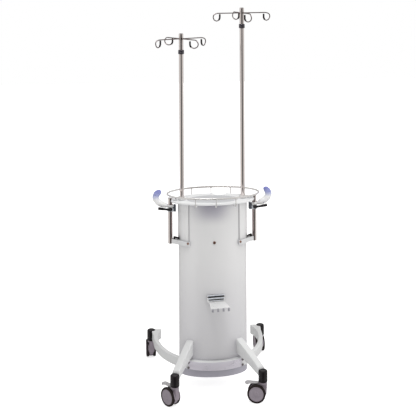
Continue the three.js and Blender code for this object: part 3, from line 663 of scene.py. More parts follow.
def plate_with_holes(name, outline, holes, z0, z1, body, mats, rep=(), bevel=1.2, inner=None):
    """A flat plate cut by round holes, triangulated from its outlines."""
    bm = bmesh.new()
    loops = [outline] + [[(x + r * math.cos(2 * math.pi * i / 40), y + r * math.sin(2 * math.pi * i / 40)) for i in range(40)] for x, y, r in holes]
    edges = []
    for lp in loops:
        vs = [bm.verts.new(pt((x, y, z0))) for x, y in lp]
        edges += [bm.edges.new((vs[i], vs[(i + 1) % len(vs)])) for i in range(len(vs))]
    bmesh.ops.triangle_fill(bm, use_beauty=True, use_dissolve=False, edges=edges)
    # keep only the faces inside the outline and outside the holes
    def inside(p, lp):
        c = False
        for i in range(len(lp)):
            (x1, y1), (x2, y2) = lp[i], lp[i - 1]
            if (y1 > p[1]) != (y2 > p[1]) and p[0] < (x2 - x1) * (p[1] - y1) / (y2 - y1) + x1:
                c = not c
        return c
    for f in list(bm.faces):
        c = f.calc_center_median()
        q = ((c.x - OX) * 1000, (c.y - OY) * 1000)
        if not inside(q, loops[0]) or any(math.hypot(q[0] - x, q[1] - y) < r * 0.999 for x, y, r in holes):
            bm.faces.remove(f)
    ret = bmesh.ops.extrude_face_region(bm, geom=list(bm.faces))
    up = [v for v in ret["geom"] if isinstance(v, bmesh.types.BMVert)]
    bmesh.ops.translate(bm, verts=up, vec=(0, 0, (z1 - z0) / 1000))
    bmesh.ops.recalc_face_normals(bm, faces=bm.faces)
    me = bpy.data.meshes.new(name)
    bm.to_mesh(me)
    bm.free()
    for m in mats if isinstance(mats, (list, tuple)) else [mats]:
        me.materials.append(m)
    ob = bpy.data.objects.new(name, me)
    bpy.context.scene.collection.objects.link(ob)
    if bevel:
        b = ob.modifiers.new("edge", "BEVEL")
        b.width, b.segments, b.limit_method, b.angle_limit = bevel / 1000, 3, "ANGLE", math.radians(60)
        b.use_clamp_overlap = True
    me.shade_smooth()
    me.set_sharp_from_angle(angle=math.radians(50 if not bevel else 70))
    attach(ob, body)
    if rep:
        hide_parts(rep)
    return ob


TA, TB = 236.0, 133.0
holes = [(-POLE_X, 0, 14.0), (POLE_X, 0, 14.0)]
plate_with_holes("tray_plate", tray_outline(TA, TB, 0.2), holes, 1022, 1028.2, "root", M["tray"], "top_tray", bevel=1.6)
# A slim pressed rim follows the plate's edge.
g, rings = Geo(), []
for (x1, y1), (x2, y2) in zip(tray_outline(TA, TB, 0.7), tray_outline(TA, TB, 5.4)):
    f = lambda q, z: (x1 + (x2 - x1) * q, y1 + (y2 - y1) * q, z)
    rings.append([f(0, 1027.6), f(0.08, 1028.9), f(0.28, 1029.7), f(0.5, 1030.0), f(0.72, 1029.7), f(0.92, 1028.9), f(1, 1027.6)])
g.loft(rings, closed=True)
g.build("tray_rim", "root", M["tray"], slot="tray", angle=60)
# The raised middle that equipment stands on, with a soft pressed edge.
g = Geo()
ring = lambda off, z: [(x, y - 8, z) for x, y in oval(140, 84, 120, off=off)]
g.loft([ring(3.0, 1027.4), ring(2.6, 1028.6), ring(1.4, 1029.2), ring(0.5, 1029.7), ring(-0.6, 1030.0), ring(-3, 1030.05), ring(-38, 1030.05)])
g.build("tray_pad", "root", M["pad"], slot="tray", angle=60)

# ------------------------------------------------------------------ guard rail
g = Geo()
RA, RB, RX, RZ = 257.0, 149.0, 4.0, 1062.0
POSTS = ((-1, -108), (-1, 5), (-1, 114), (1, -104), (1, 9), (1, 120))
g.sweep([(RX + RA * math.cos(2 * math.pi * i / 160), RB * math.sin(2 * math.pi * i / 160), RZ) for i in range(160)], 4.9, 14, closed=True)
nuts = Geo()
for back, x in POSTS:
    y = back * RB * math.sqrt(1 - ((x - RX) / RA) ** 2)
    fx, fy = -x * 0.1, -back * 24
    path = smooth([(x, y, RZ - 1), (x, y, 1040), (x, y, 1022.4), (x + fx * 0.04, y + fy * 0.04, 1018.0), (x + fx * 0.2, y + fy * 0.2, 1016.0), (x + fx, y + fy, 1016.0)], 5)
    g.sweep(path, 2.5, 12)
    # weld collar under the ring and a fixing nut where the foot meets the plate
    g.at(x, y, RZ)
    g.lathe([(2.4, -9.5), (2.9, -8.8), (3.6, -6.0), (4.4, -3.4), (0, -3.0)][::-1] + [(0, -9.5)], 14)
    g.at()
    nuts.at(x + fx * 0.55, y + fy * 0.55, 1016.0)
    nuts.lathe([(0, -3.8), (4.6, -3.8), (5.0, -3.2), (5.0, 5.2), (4.6, 5.8), (0, 5.8)], 20)
g.build("guard_rail", "root", M["ring"], "tray_rail", "rail_wire", angle=60)
nuts.build("guard_rail_nuts", "root", M["white"], slot="rail_wire")

# ------------------------------------------------------------------ poles
arm_path = [(8, 0, 0), (60, 0, 0), (100, 0, 0), (124, -0.3, 0), (144, -1.5, -0.5), (158, -3, -5.5), (165.6, -2, -13.5), (167, -1, -24.5), (160.5, -4, -36.5), (145.5, -12, -43.5), (130, -20, -39), (122, -24, -27.5), (122, -24, -16), (122, -24, -7)]
HEAD = {"left": 209.5, "right": 190.5}
for side, s in SIDES:
    lo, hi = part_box(f"hook_head_{side}")
    top = hi.z * 1000
    z, collar = top - 30, top - 115
    X = s * POLE_X
    tlo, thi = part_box(f"pole_tube_{side}")
    t0, t1 = tlo.z * 1000, thi.z * 1000

    g = Geo().at(X, 0, 0)
    g.lathe([(13.2, 1029.4), (20.2, 1029.4), (20.5, 1030.2), (20.5, 1039.6), (20.0, 1041.6), (18.6, 1043.4), (16.6, 1044), (14.0, 1044), (13.3, 1043.4), (13.2, 1042)], 56, closed=True)
    g.build(f"pole_boss_moulding_{side}", "root", M["boss"], f"pole_boss_{side}", "boss", angle=50)
    g = Geo()
    for a in (45, 165, 285):
        g.at(X + 17.0 * math.cos(math.radians(a)), 17.0 * math.sin(math.radians(a)), 1043.2)
        socket_head(g, 1.7, 1.2, 16)
    g.build(f"pole_boss_screws_{side}", "root", M["bolt"], slot="boss")

    g = Geo().at(X, 0, 0)
    g.lathe([(13.0, 96.6), (13.7, 96.6), (13.7, 1021.4), (13.0, 1021.4)], 40, closed=True)
    g.build(f"pole_guide_sleeve_{side}", "root", M["inner"], f"pole_guide_{side}", "guide")

    g = Geo().at(X, 0, 0)
    g.lathe([(10.3, t0), (12.2, t0), (12.45, t0 + 0.4)] + [(12.45, t0 + (t1 - t0) * q) for q in (0.25, 0.5, 0.75)] + [(12.45, t1 - 0.4), (12.2, t1), (10.3, t1)], 56, closed=True)
    g.build(f"pole_tube_skin_{side}", f"pole_{side}", M["steel"], f"pole_tube_{side}", "steel", angle=50)

    g = Geo().at(X, 0, 0)
    prof = [(13.0, collar + 0.2), (15.8, collar + 0.2), (16.4, collar + 1.0)]
    for i in range(5):
        zz = collar + 4.0 + i * 2.6
        prof += [(16.75, zz - 0.9), (16.75, zz), (16.4, zz + 0.35), (16.4, zz + 0.9)]
    prof += [(16.75, collar + 18.4), (16.6, collar + 20), (15.6, collar + 21.8), (14.2, collar + 22.8), (12.4, collar + 23), (10.3, collar + 23), (10.3, collar + 13.6), (13.0, collar + 13.6)]
    g.lathe(prof, 56, closed=True)
    g.build(f"pole_collar_moulding_{side}", f"pole_{side}", M["collar"], f"pole_collar_{side}", "collar", angle=40)

    rlo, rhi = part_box(f"inner_rod_{side}")
    r0, r1 = rlo.z * 1000, rhi.z * 1000
    g = Geo().at(X, 0, 0)
    g.lathe([(0, r0), (8.6, r0), (9.4, r0 + 0.9)] + [(9.4, r0 + (r1 - r0) * q) for q in (0.25, 0.5, 0.75)] + [(9.4, r1 - 0.8), (8.8, r1), (0, r1)], 48)
    g.build(f"inner_rod_skin_{side}", f"rod_{side}", M["rod"], f"inner_rod_{side}", "rod", angle=50)

    # Hook head: turned hub with a grip band, four bent wire arms and their dark end sleeves.
    g = Geo().at(X, 0, 0)
    hp = [(0, top - 11.5), (9.9, top - 11.5), (9.9, collar + 23.5), (12.0, collar + 23.5), (12.45, collar + 24.2), (12.45, z - 34), (12.0, z - 33.4), (12.0, z - 31.2), (12.45, z - 30.6), (12.45, z - 8.6)]
    hp += [(12.1, z - 8.0), (12.1, z + 8.0), (12.45, z + 8.6), (12.45, top - 5.2), (11.9, top - 2.4), (10.2, top - 0.7), (7.6, top), (0, top)]
    g.lathe(hp, 56)
    g.mat = 1
    for i in range(4):
        g.at(X, 0, z, rz=math.radians(HEAD[side] + 90 * i))
        path = smooth(arm_path[:-1] + [(122, -24, -10)], 7)
        start = [p for p in path if p.x >= 11.2 or p.z < -3]
        g.sweep(start, 2.9, 14)
        g.at(X, 0, z, rz=math.radians(HEAD[side] + 90 * i), ry=math.pi / 2)
        g.lathe([(0, 11.4), (4.1, 11.4), (4.3, 12.0), (4.3, 14.6), (3.4, 16.2), (0, 16.2)], 20)
    g.build(f"hook_head_skin_{side}", f"head_{side}", [M["post"], M["wire"]], f"hook_head_{side}", "steel", angle=45)
    g = Geo()
    for i in range(4):
        g.at(X, 0, z, rz=math.radians(HEAD[side] + 90 * i))
        path = smooth([(129.4, -20.4, -38.6), (125.2, -23, -33.5), (122.3, -23.9, -26), (122, -24, -16), (122, -24, -5.6)], 6)
        n = len(path)
        rad_ = [3.6] + [4.9] * (n - 3) + [4.6, 3.0]
        g.sweep(path, rad_, 16)
    g.build(f"hook_end_sleeves_{side}", f"head_{side}", M["black"], slot="black_plastic", angle=50)

# ------------------------------------------------------------------ side rails, clamps and handles
Z_LOW, Z_HIGH, CLAMP = 789.0, 1042.0, 966.0


def bezel(outline, z0, z1):
    return [(x, y, z0) for x, y in outline], [(x, y, z1) for x, y in outline]


for side, s in SIDES:
    X, Y = s * RAIL_X, RAIL_Y
    g = Geo().at(X, Y, 0)
    g.lathe([(10.5, Z_LOW), (12.1, Z_LOW), (12.45, Z_LOW + 0.5)] + [(12.45, z) for z in (850, 910, 970, 1030)] + [(12.45, Z_HIGH - 0.5), (12.1, Z_HIGH), (10.5, Z_HIGH)], 56, closed=True)
    g.build(f"side_rail_tube_{side}", "root", M["side_tube"], f"side_rail_{side}", "steel", angle=50)
    g = Geo().at(X, Y, 0)
    g.lathe([(0, Z_HIGH - 9), (10.2, Z_HIGH - 9), (10.2, Z_HIGH + 0.1), (11.7, Z_HIGH + 0.1), (12.1, Z_HIGH + 0.8), (11.4, Z_HIGH + 1.8), (8, Z_HIGH + 2.5), (0, Z_HIGH + 2.7)], 40)
    g.lathe([(0, Z_LOW - 1.6), (11.2, Z_LOW - 1.6), (11.9, Z_LOW - 1.0), (11.9, Z_LOW - 0.1), (10.2, Z_LOW - 0.1), (10.2, Z_LOW + 9), (0, Z_LOW + 9)], 40)
    g.build(f"side_rail_end_caps_{side}", "root", M["boss"], slot="boss", angle=50)

    # Lower bracket: a flat arm bent round the column's flank; its outer end is hollowed to seat the rail.
    outer = smooth([(229, -12.2, 0), (222, -14.5, 0), (210, -22.4, 0), (196, -36.6, 0), (182, -53, 0), (168, -67, 0), (152, -78.6, 0), (143, -83.6, 0), (138, -83.4, 0), (135.2, -79.2, 0)], 4)
    inner = []
    for i in range(23):
        t = math.radians(-46.0 + 46.0 * i / 22)
        x, y = (A + 4.6) * math.cos(t), (B + 4.6) * math.sin(t)
        inner.append((x, y))
    inner += [(193.2, 5), (194.5, 9), (198, 12.2), (204, 12.4), (229, 12.4)]
    seat = [(RAIL_X - 13.3 * math.cos(math.radians(v)), -13.3 * math.sin(math.radians(v))) for v in range(-64, 65, 8)]
    ol = [(s * p.x, p.y) for p in outer] + [(s * x, y) for x, y in inner] + [(s * x, y) for x, y in seat]
    g = Geo().prism(ol if s < 0 else ol[::-1], Z_LOW - 0.3, Z_LOW + 24.8)
    g.build(f"rail_arm_lower_{side}", "root", M["white"], f"rail_lower_bracket_{side}", "white_metal", bevel=1.4, angle=60)
    g = Geo()
    g.at(s * 145.6, -82.6, 806, rz=math.radians(-90 + s * 34), ry=math.pi / 2)
    g.T = g.T @ Matrix.Translation((0, 0, -1.2))
    socket_head(g, 6.4, 4.6)
    g.build(f"rail_arm_bolt_{side}", "root", M["copper"], slot="steel")

    # Upper bracket: a foot on the tray and a saddle behind the rail.
    ol = [(214, -13), (204, -14.6), (199.5, -12.5), (197.2, -8.6), (197.2, 8.6), (199.5, 12.5), (204, 14.6), (214, 13), (228.6, 12.8)]
    ol += [(RAIL_X - 13.3 * math.cos(math.radians(v)), 13.3 * math.sin(math.radians(v))) for v in range(64, -65, -8)] + [(228.6, -12.8)]
    ol = [(s * x, y) for x, y in ol]
    g = Geo().prism(ol if s > 0 else ol[::-1], 1029.6, 1034)
    sad = [(228.9, -12.6), (219, -12.8), (215, -10), (214, -5), (214, 5), (215, 10), (219, 12.8), (228.9, 12.6)]
    sad += [(RAIL_X - 13.3 * math.cos(math.radians(v)), 13.3 * math.sin(math.radians(v))) for v in range(60, -61, -8)]
    sad = [(s * x, y) for x, y in sad]
    g.prism(sad if s > 0 else sad[::-1], 1033.4, 1040.3)
    g.build(f"rail_arm_upper_{side}", "root", M["white"], f"rail_upper_bracket_{side}", "white_metal", bevel=0.9, angle=60)
    g = Geo()
    for by in (-7.5, 7.5):
        g.at(s * 205.5, by, 1033.9)
        socket_head(g, 3.4, 2.6)
    g.build(f"rail_arm_upper_bolts_{side}", "root", M["bolt"], slot="steel")

    # Small lock lever on the lower bracket
    lx, ly, lz = s * 215.5, -11, Z_LOW + 25.2
    g = Geo().at(lx, ly, 0)
    g.lathe([(0, lz), (5.6, lz), (6.0, lz + 0.8), (6.0, lz + 12.6), (5.2, lz + 14.4), (3.2, lz + 15), (0, lz + 15)], 32)
    g.at()
    path = smooth([(lx, ly, lz + 12), (s * 208.6, -17.4, lz + 11.6), (s * 201.4, -26.0, lz + 11), (s * 194.6, -33.8, lz + 10.4), (s * 191.2, -37.8, lz + 10)], 5)
    n = len(path)
    rr = [(4.2 + 1.1 * math.sin(math.pi * min(1, i / (n - 1) * 0.9)), 4.4 + 1.3 * math.sin(math.pi * min(1, i / (n - 1) * 0.9))) for i in range(n)]
    rr[-1] = (2.6, 2.6)
    g.sweep(path, rr, 18)
    g.build(f"rail_lock_lever_grip_{side}", f"rail_lock_{side}", M["black"], f"rail_lock_lever_{side}", "black_plastic", angle=50)

    # Clamp: grey jaw on the column side, pale sleeve round the rail
    g = Geo()
    def slab(x0, x1, y0, y1, z0, z1):
        g.box(min(X - s * x0, X - s * x1), max(X - s * x0, X - s * x1), Y + y0, Y + y1, z0, z1)
    slab(16.2, 31.7, -13.4, 13.4, CLAMP + 0.2, CLAMP + 21.8)
    slab(18.8, 31.7, -11.7, 11.7, CLAMP + 21.0, CLAMP + 37.4)
    g.build(f"clamp_jaw_{side}", f"clamp_{side}", M["clamp"], f"clamp_block_{side}", "clamp", bevel=1.8, angle=60)
    g = Geo()
    for q in range(5):
        slab(20.5, 30.2, -12.6, -11.2, CLAMP + 24 + q * 2.5, CLAMP + 25.1 + q * 2.5)
        slab(19, 30.2, -14.1, -12.9, CLAMP + 4 + q * 3.2, CLAMP + 5.4 + q * 3.2)
    g.build(f"clamp_jaw_ribs_{side}", f"clamp_{side}", M["clamp"], slot="clamp", bevel=0.3)
    g = Geo().at(X, Y, 0)
    g.lathe([(13.1, CLAMP + 0.2), (14.6, CLAMP + 0.2), (15.2, CLAMP + 1), (15.2, CLAMP + 21), (14.6, CLAMP + 21.9), (13.1, CLAMP + 21.9)], 48, closed=True)
    g.at()
    slab(-3.0, 17.0, -13.9, -9.4, CLAMP + 1.4, CLAMP + 20.8)
    slab(6.0, 17.0, 9.4, 13.9, CLAMP + 1.4, CLAMP + 20.8)
    g.build(f"clamp_sleeve_{side}", f"clamp_{side}", M["sleeve"], slot="clamp", bevel=0.9, angle=60)

    # Clamp lever
    hz = CLAMP + 16
    g = Geo().at(X, Y - 14.4, hz, rx=math.pi / 2)
    g.lathe([(0, 0), (5.6, 0), (5.6, 3.0), (8.9, 3.5), (9.9, 4.6), (10.4, 7), (10.4, 14.5), (9.6, 17.6), (7.4, 19.8), (3.4, 20.4), (3.2, 19.2), (0, 19.0)], 40)
    g.at()
    path = smooth([(X, Y - 25, hz), (X + s * 10, Y - 25.4, hz + 0.3), (X + s * 24, Y - 26.2, hz + 2.0), (X + s * 40, Y - 27, hz + 4.4), (X + s * 56, Y - 28, hz + 7.2), (X + s * 65, Y - 28.4, hz + 9.0), (X + s * 69, Y - 28.6, hz + 9.8)], 5)
    n = len(path)
    rr = []
    for i in range(n):
        q = i / (n - 1)
        w = 8.4 - 1.9 * math.sin(math.pi * min(1, q * 1.5)) ** 2 * (q < 0.67) + (0.2 if q > 0.7 else 0)
        rr.append((w * 0.92, w * 0.9))
    rr[-1], rr[-2] = (2.4, 2.2), (5.0, 4.6)
    rr[0], rr[1], rr[2] = (6.0, 6.0), (6.1, 6.0), (6.2, 6.1)
    g.sweep(path, rr, 20)
    g.build(f"clamp_lever_arm_{side}", f"clamp_lever_{side}", M["black"], f"clamp_lever_{side}", "black_plastic", angle=55)
    g = Geo().at(X, Y - 33.4, hz, rx=math.pi / 2)
    socket_head(g, 3.0, 1.0, 20)
    g.build(f"clamp_lever_screw_{side}", f"clamp_lever_{side}", M["bolt"], slot="steel")

    # Horn handle and its cap
    spine = [(12, 996, 7.2), (20, 998.5, 11.2), (34, 1003, 15.4), (50, 1009.5, 17.6), (65.5, 1019.5, 18.4), (77, 1033.5, 18.6), (80.5, 1047, 18.6), (78.4, 1059, 18.4)]
    pts = smooth([(X + s * o, Y, zz) for o, zz, r in spine], 6)
    rad3 = smooth([(r, 0, 0) for o, zz, r in spine], 6)
    g = Geo()
    g.sweep(pts, [q.x for q in rad3], 32, up=(0, 1, 0))
    g.at(X, Y, 0)
    g.lathe([(13.1, CLAMP + 22.6), (16.6, CLAMP + 22.6), (17.1, CLAMP + 23.3), (17.1, CLAMP + 36.7), (16.6, CLAMP + 37.5), (13.1, CLAMP + 37.5)], 48, closed=True)
    g.build(f"handle_horn_{side}", f"handle_{side}", M["handle"], f"handle_arm_{side}", "handle", angle=50)
    cap = [(78.2, 1059.4, 18.4), (75.6, 1063.4, 18.2), (72.0, 1067.0, 17.6), (65.0, 1072.0, 16.4), (59.6, 1074.8, 14.4), (54.0, 1077.0, 10.8), (49.6, 1078.2, 4.2)]
    if s > 0:
        # the ring sits 8 mm nearer on this side: room for the cap to swing past it
        cap = cap[:1] + [(o + 0.8, zz, r - 0.6) for o, zz, r in cap[1:3]] + [(o + 2.6, zz + 0.8, r - 1.0) for o, zz, r in cap[3:]]
    pts = smooth([(X + s * o, Y, zz) for o, zz, r in cap], 5)
    rad3 = smooth([(r, 0, 0) for o, zz, r in cap], 5)
    g = Geo()
    g.sweep(pts, [max(0.6, q.x) for q in rad3], 32, up=(0, 1, 0))
    g.build(f"handle_cap_{side}", f"handle_{side}", M["grip"], f"handle_grip_{side}", "grip", angle=60)

# ------------------------------------------------------------------ bag bracket
BT = math.radians(6)
def bag(g):
    return g.at(6, -B, 490, rz=BT)

g = bag(Geo())
g.box(-52, 48, -5.7, -3.2, -1.6, 36.6)
for x in (-47, 43.6):
    g.box(x, x + 3.4, -11.4, -5.2, -3.6, 3.6)
g.build("bag_mount_plate", "root", M["bracket"], "bag_bracket_mount", "bracket", bevel=0.7)
g = bag(Geo())
g.loft([[(x, -4, 33.2), (x, -9.9, 33.6), (x, -10.4, 34.6), (x, -10.2, 36.0), (x, -9.4, 36.8), (x, -4, 36.9)] for x in (-50, 46)])
g.loft([[(x, -4, 15.7), (x, -8.2, 16.0), (x, -8.7, 17.2), (x, -8.7, 20.3), (x, -8.2, 21.5), (x, -4, 21.8)] for x in (-48, 44)])
g.loft([[(x, -4, 3.6), (x, -6.8, 3.9), (x, -7.1, 4.6), (x, -7.1, 6.4), (x, -6.8, 7.1), (x, -4, 7.4)] for x in (-40, 40)])
g.build("bag_mount_lips", "root", M["sleeve"], slot="bracket", bevel=0.4)
# Dark sheets on the plate between the lips: painted shadow in the slots.
g = bag(Geo())
g.box(-47, 43, -6.2, -5.3, 23.2, 32.2)
g.box(-43, 41, -6.2, -5.3, 8.8, 14.4)
g.build("bag_mount_slot_shadows", "root", M["dark"], slot="bracket")
g = bag(Geo())
for x in (-49.5, 45.5):
    g.T = Matrix.Translation((6, -B, 490)) @ Matrix.Rotation(BT, 4, "Z") @ Matrix.Translation((x, -5.4, 27.5)) @ Matrix.Rotation(math.pi / 2, 4, "X")
    socket_head(g, 2.2, 1.8, 18)
g.build("bag_mount_screws", "root", M["bolt"], slot="bracket")
g = bag(Geo())
n = 14
outline_l, outline_r = [], []
for i in range(n + 1):
    q = i / n
    y = -8.5 - 103.5 * q
    w = 42 + 12 * q
    outline_l.append((-w, y))
    outline_r.append((w, y))
g.prism(outline_l + outline_r[::-1], -1.1, 1.1)
g.build("bag_shelf_sheet", "bag_shelf", M["bracket"], "bag_bracket", "bracket", bevel=0.5)
g = bag(Geo())
for x in (-44, -15, 15, 44):
    path = smooth([(x, -108, 0), (x, -112.4, -0.6), (x, -114.0, -3.4), (x, -113.6, -8), (x, -112.6, -12), (x, -113.8, -15.0), (x, -116.4, -15.6), (x, -117.2, -13.0)], 4)
    g.sweep(path, 1.0, 4, shape=[(1.1, 5.0), (-1.1, 5.0), (-1.1, -5.0), (1.1, -5.0)], up=(0, -0.35, 1))
g.build("bag_shelf_fingers", "bag_shelf", M["finger"], slot="bracket", bevel=0.4)
g = bag(Geo())
g.sweep([(-40, -8.6, 0), (40, -8.6, 0)], 2.0, 16)
g.build("bag_shelf_pin", "bag_shelf", M["rod"], slot="bracket")

# ------------------------------------------------------------------ base bow
BA, BB, CY, BN, BW = 320.0, 422.0, 290.0, 2.1, 25.0


def bow_edge(t, off):
    """Point on the bow's outer edge for a parameter angle (-pi..0), moved outward by off, and its outward normal."""
    c, q = math.cos(t), max(-math.sin(t), 0.0)
    x, y = BA * math.copysign(abs(c) ** (2 / BN), c), -BB * q ** (2 / BN)
    nx, ny = math.copysign(abs(x / BA) ** (BN - 1) / BA, x), -abs(y / BB) ** (BN - 1) / BB
    n = math.hypot(nx, ny)
    return x + off * nx / n, CY + y + off * ny / n, nx / n, ny / n


def bow_at(x, off):
    """The same, for a given x on the outer edge."""
    y = -BB * (1 - abs(x / BA) ** BN) ** (1 / BN)
    nx, ny = math.copysign(abs(x / BA) ** (BN - 1) / BA, x), -abs(y / BB) ** (BN - 1) / BB
    n = math.hypot(nx, ny)
    return x + off * nx / n, CY + y + off * ny / n, nx / n, ny / n


half = [bow_edge(math.radians(-180 + 90 * i / 60), -BW / 2)[:2] for i in range(61)]
line = [(-BA + BW / 2, 345), (-BA + BW / 2, 318)] + half + [(-x, y) for x, y in half[-2::-1]] + [(BA - BW / 2, 318), (BA - BW / 2, 345)]
sq = rounded(BW, 50, 4, 5)
g = Geo()
g.sweep([(x, y, 144) for x, y in line], 1.0, shape=[(b_, a_) for a_, b_ in sq], up=(0, 0, 1))
g.build("base_bow_tube", "root", M["base"], "base_bow", "base_metal", angle=50)
# Metal facing between the legs
rings = []
for i in range(49):
    xx = -147 + 294 * i / 48
    o0, o1 = -0.6, 1.1
    ring = []
    for off, z in ((o0, 120.5), (o1 - 0.5, 120.5), (o1, 121.2), (o1, 164.4), (o1 - 0.5, 165.1), (o0, 165.1)):
        x, y, _, _ = bow_at(xx, off)
        ring.append((x, y, z))
    rings.append(ring)
g = Geo().loft(rings)
g.build("base_bow_facing", "root", M["face"], slot="base_metal", angle=40)
# Flared ends that wrap the rear sockets
for side, s in SIDES:
    g = Geo()
    bore = [(328 + 25.1 * math.cos(math.radians(v)), 376 + 25.1 * math.sin(math.radians(v))) for v in range(-98, -205, -8)]
    ol = [(320.2, 302), (322.6, 322), (324.4, 346)] + bore + [(304, 383.8), (270, 383.8), (268.2, 382), (268.2, 366), (270, 362.4), (282, 342), (286.4, 322), (290, 300), (296, 264)]
    ol = [(s * x, y) for x, y in ol]
    g.prism(ol if s > 0 else ol[::-1], 119.3, 168.8)
    g.build(f"bow_end_block_{side}", "root", M["base"], slot="base_metal", bevel=1.6, angle=60)
    g = Geo()
    for zz in (131, 157):
        g.at(s * 276, 363.2, zz, rx=math.pi / 2)
        socket_head(g, 4.5, 3.0)
    g.build(f"bow_end_bolts_{side}", "root", M["bolt"], slot="steel")
g = Geo()
for s in (-1, 1):
    for zz in (157.0, 128.0):
        x, y, nx, ny = bow_at(152 if s > 0 else -146.5, 0.4)
        g.at(x, y, zz, rz=math.atan2(ny, nx), ry=math.pi / 2)
        socket_head(g, 6.6, 5.0, hexr=3.2)
g.build("bow_bolts", "root", M["bolt"], slot="steel")

# Front legs
for side, s in SIDES:
    a, b = Vector((128, -56, 0)), Vector((237, -270, 0))
    d = (b - a).normalized()
    nrm = Vector((-d.y, d.x, 0))
    g = Geo()
    rings = []
    keys = [(0.085, 20, 191.5, 271), (0.3, 20, 181, 250), (0.62, 19.5, 161, 217), (0.905, 19, 138.5, 184)]
    for i in range(13):
        q = keys[0][0] + (keys[-1][0] - keys[0][0]) * i / 12
        for k0, k1 in zip(keys, keys[1:]):
            if k0[0] - 1e-6 <= q <= k1[0] + 1e-6:
                u = (q - k0[0]) / (k1[0] - k0[0])
                half, z0, z1 = (k0[j] + (k1[j] - k0[j]) * u for j in (1, 2, 3))
                break
        p = a + (b - a) * q
        ring = []
        for w, h in rounded(2 * half, z1 - z0, 5, 4):
            c = p + nrm * w
            ring.append((s * c.x, c.y, (z0 + z1) / 2 + h))
        if i == 0:  # the upper end follows the column's oval
            fixed = []
            for x, y, z in ring:
                q2 = Vector((abs(x), y, 0))
                for _ in range(60):
                    if (q2.x / (A + 0.7)) ** 2 + (q2.y / (B + 0.7)) ** 2 <= 1:
                        break
                    q2 -= d * 1.0
                fixed.append((s * q2.x, q2.y, z))
            ring = fixed
        rings.append(ring if s > 0 else ring[::-1])
    # the lower end wraps the socket
    p = a + (b - a) * 0.905
    last = []
    for w, h in rounded(38, 44.0, 5, 4):
        back = math.sqrt(max(0, 22.7 ** 2 - w * w))
        c = b - d * back + nrm * w
        zc = (134.5 + 176.5) / 2
        last.append((s * c.x, c.y, zc + h * 0.94))
    rings.append(last if s > 0 else last[::-1])
    g.loft(rings)
    g.build(f"front_leg_skin_{side}", "root", M["base"], f"front_leg_{side}", "base_metal", angle=42)

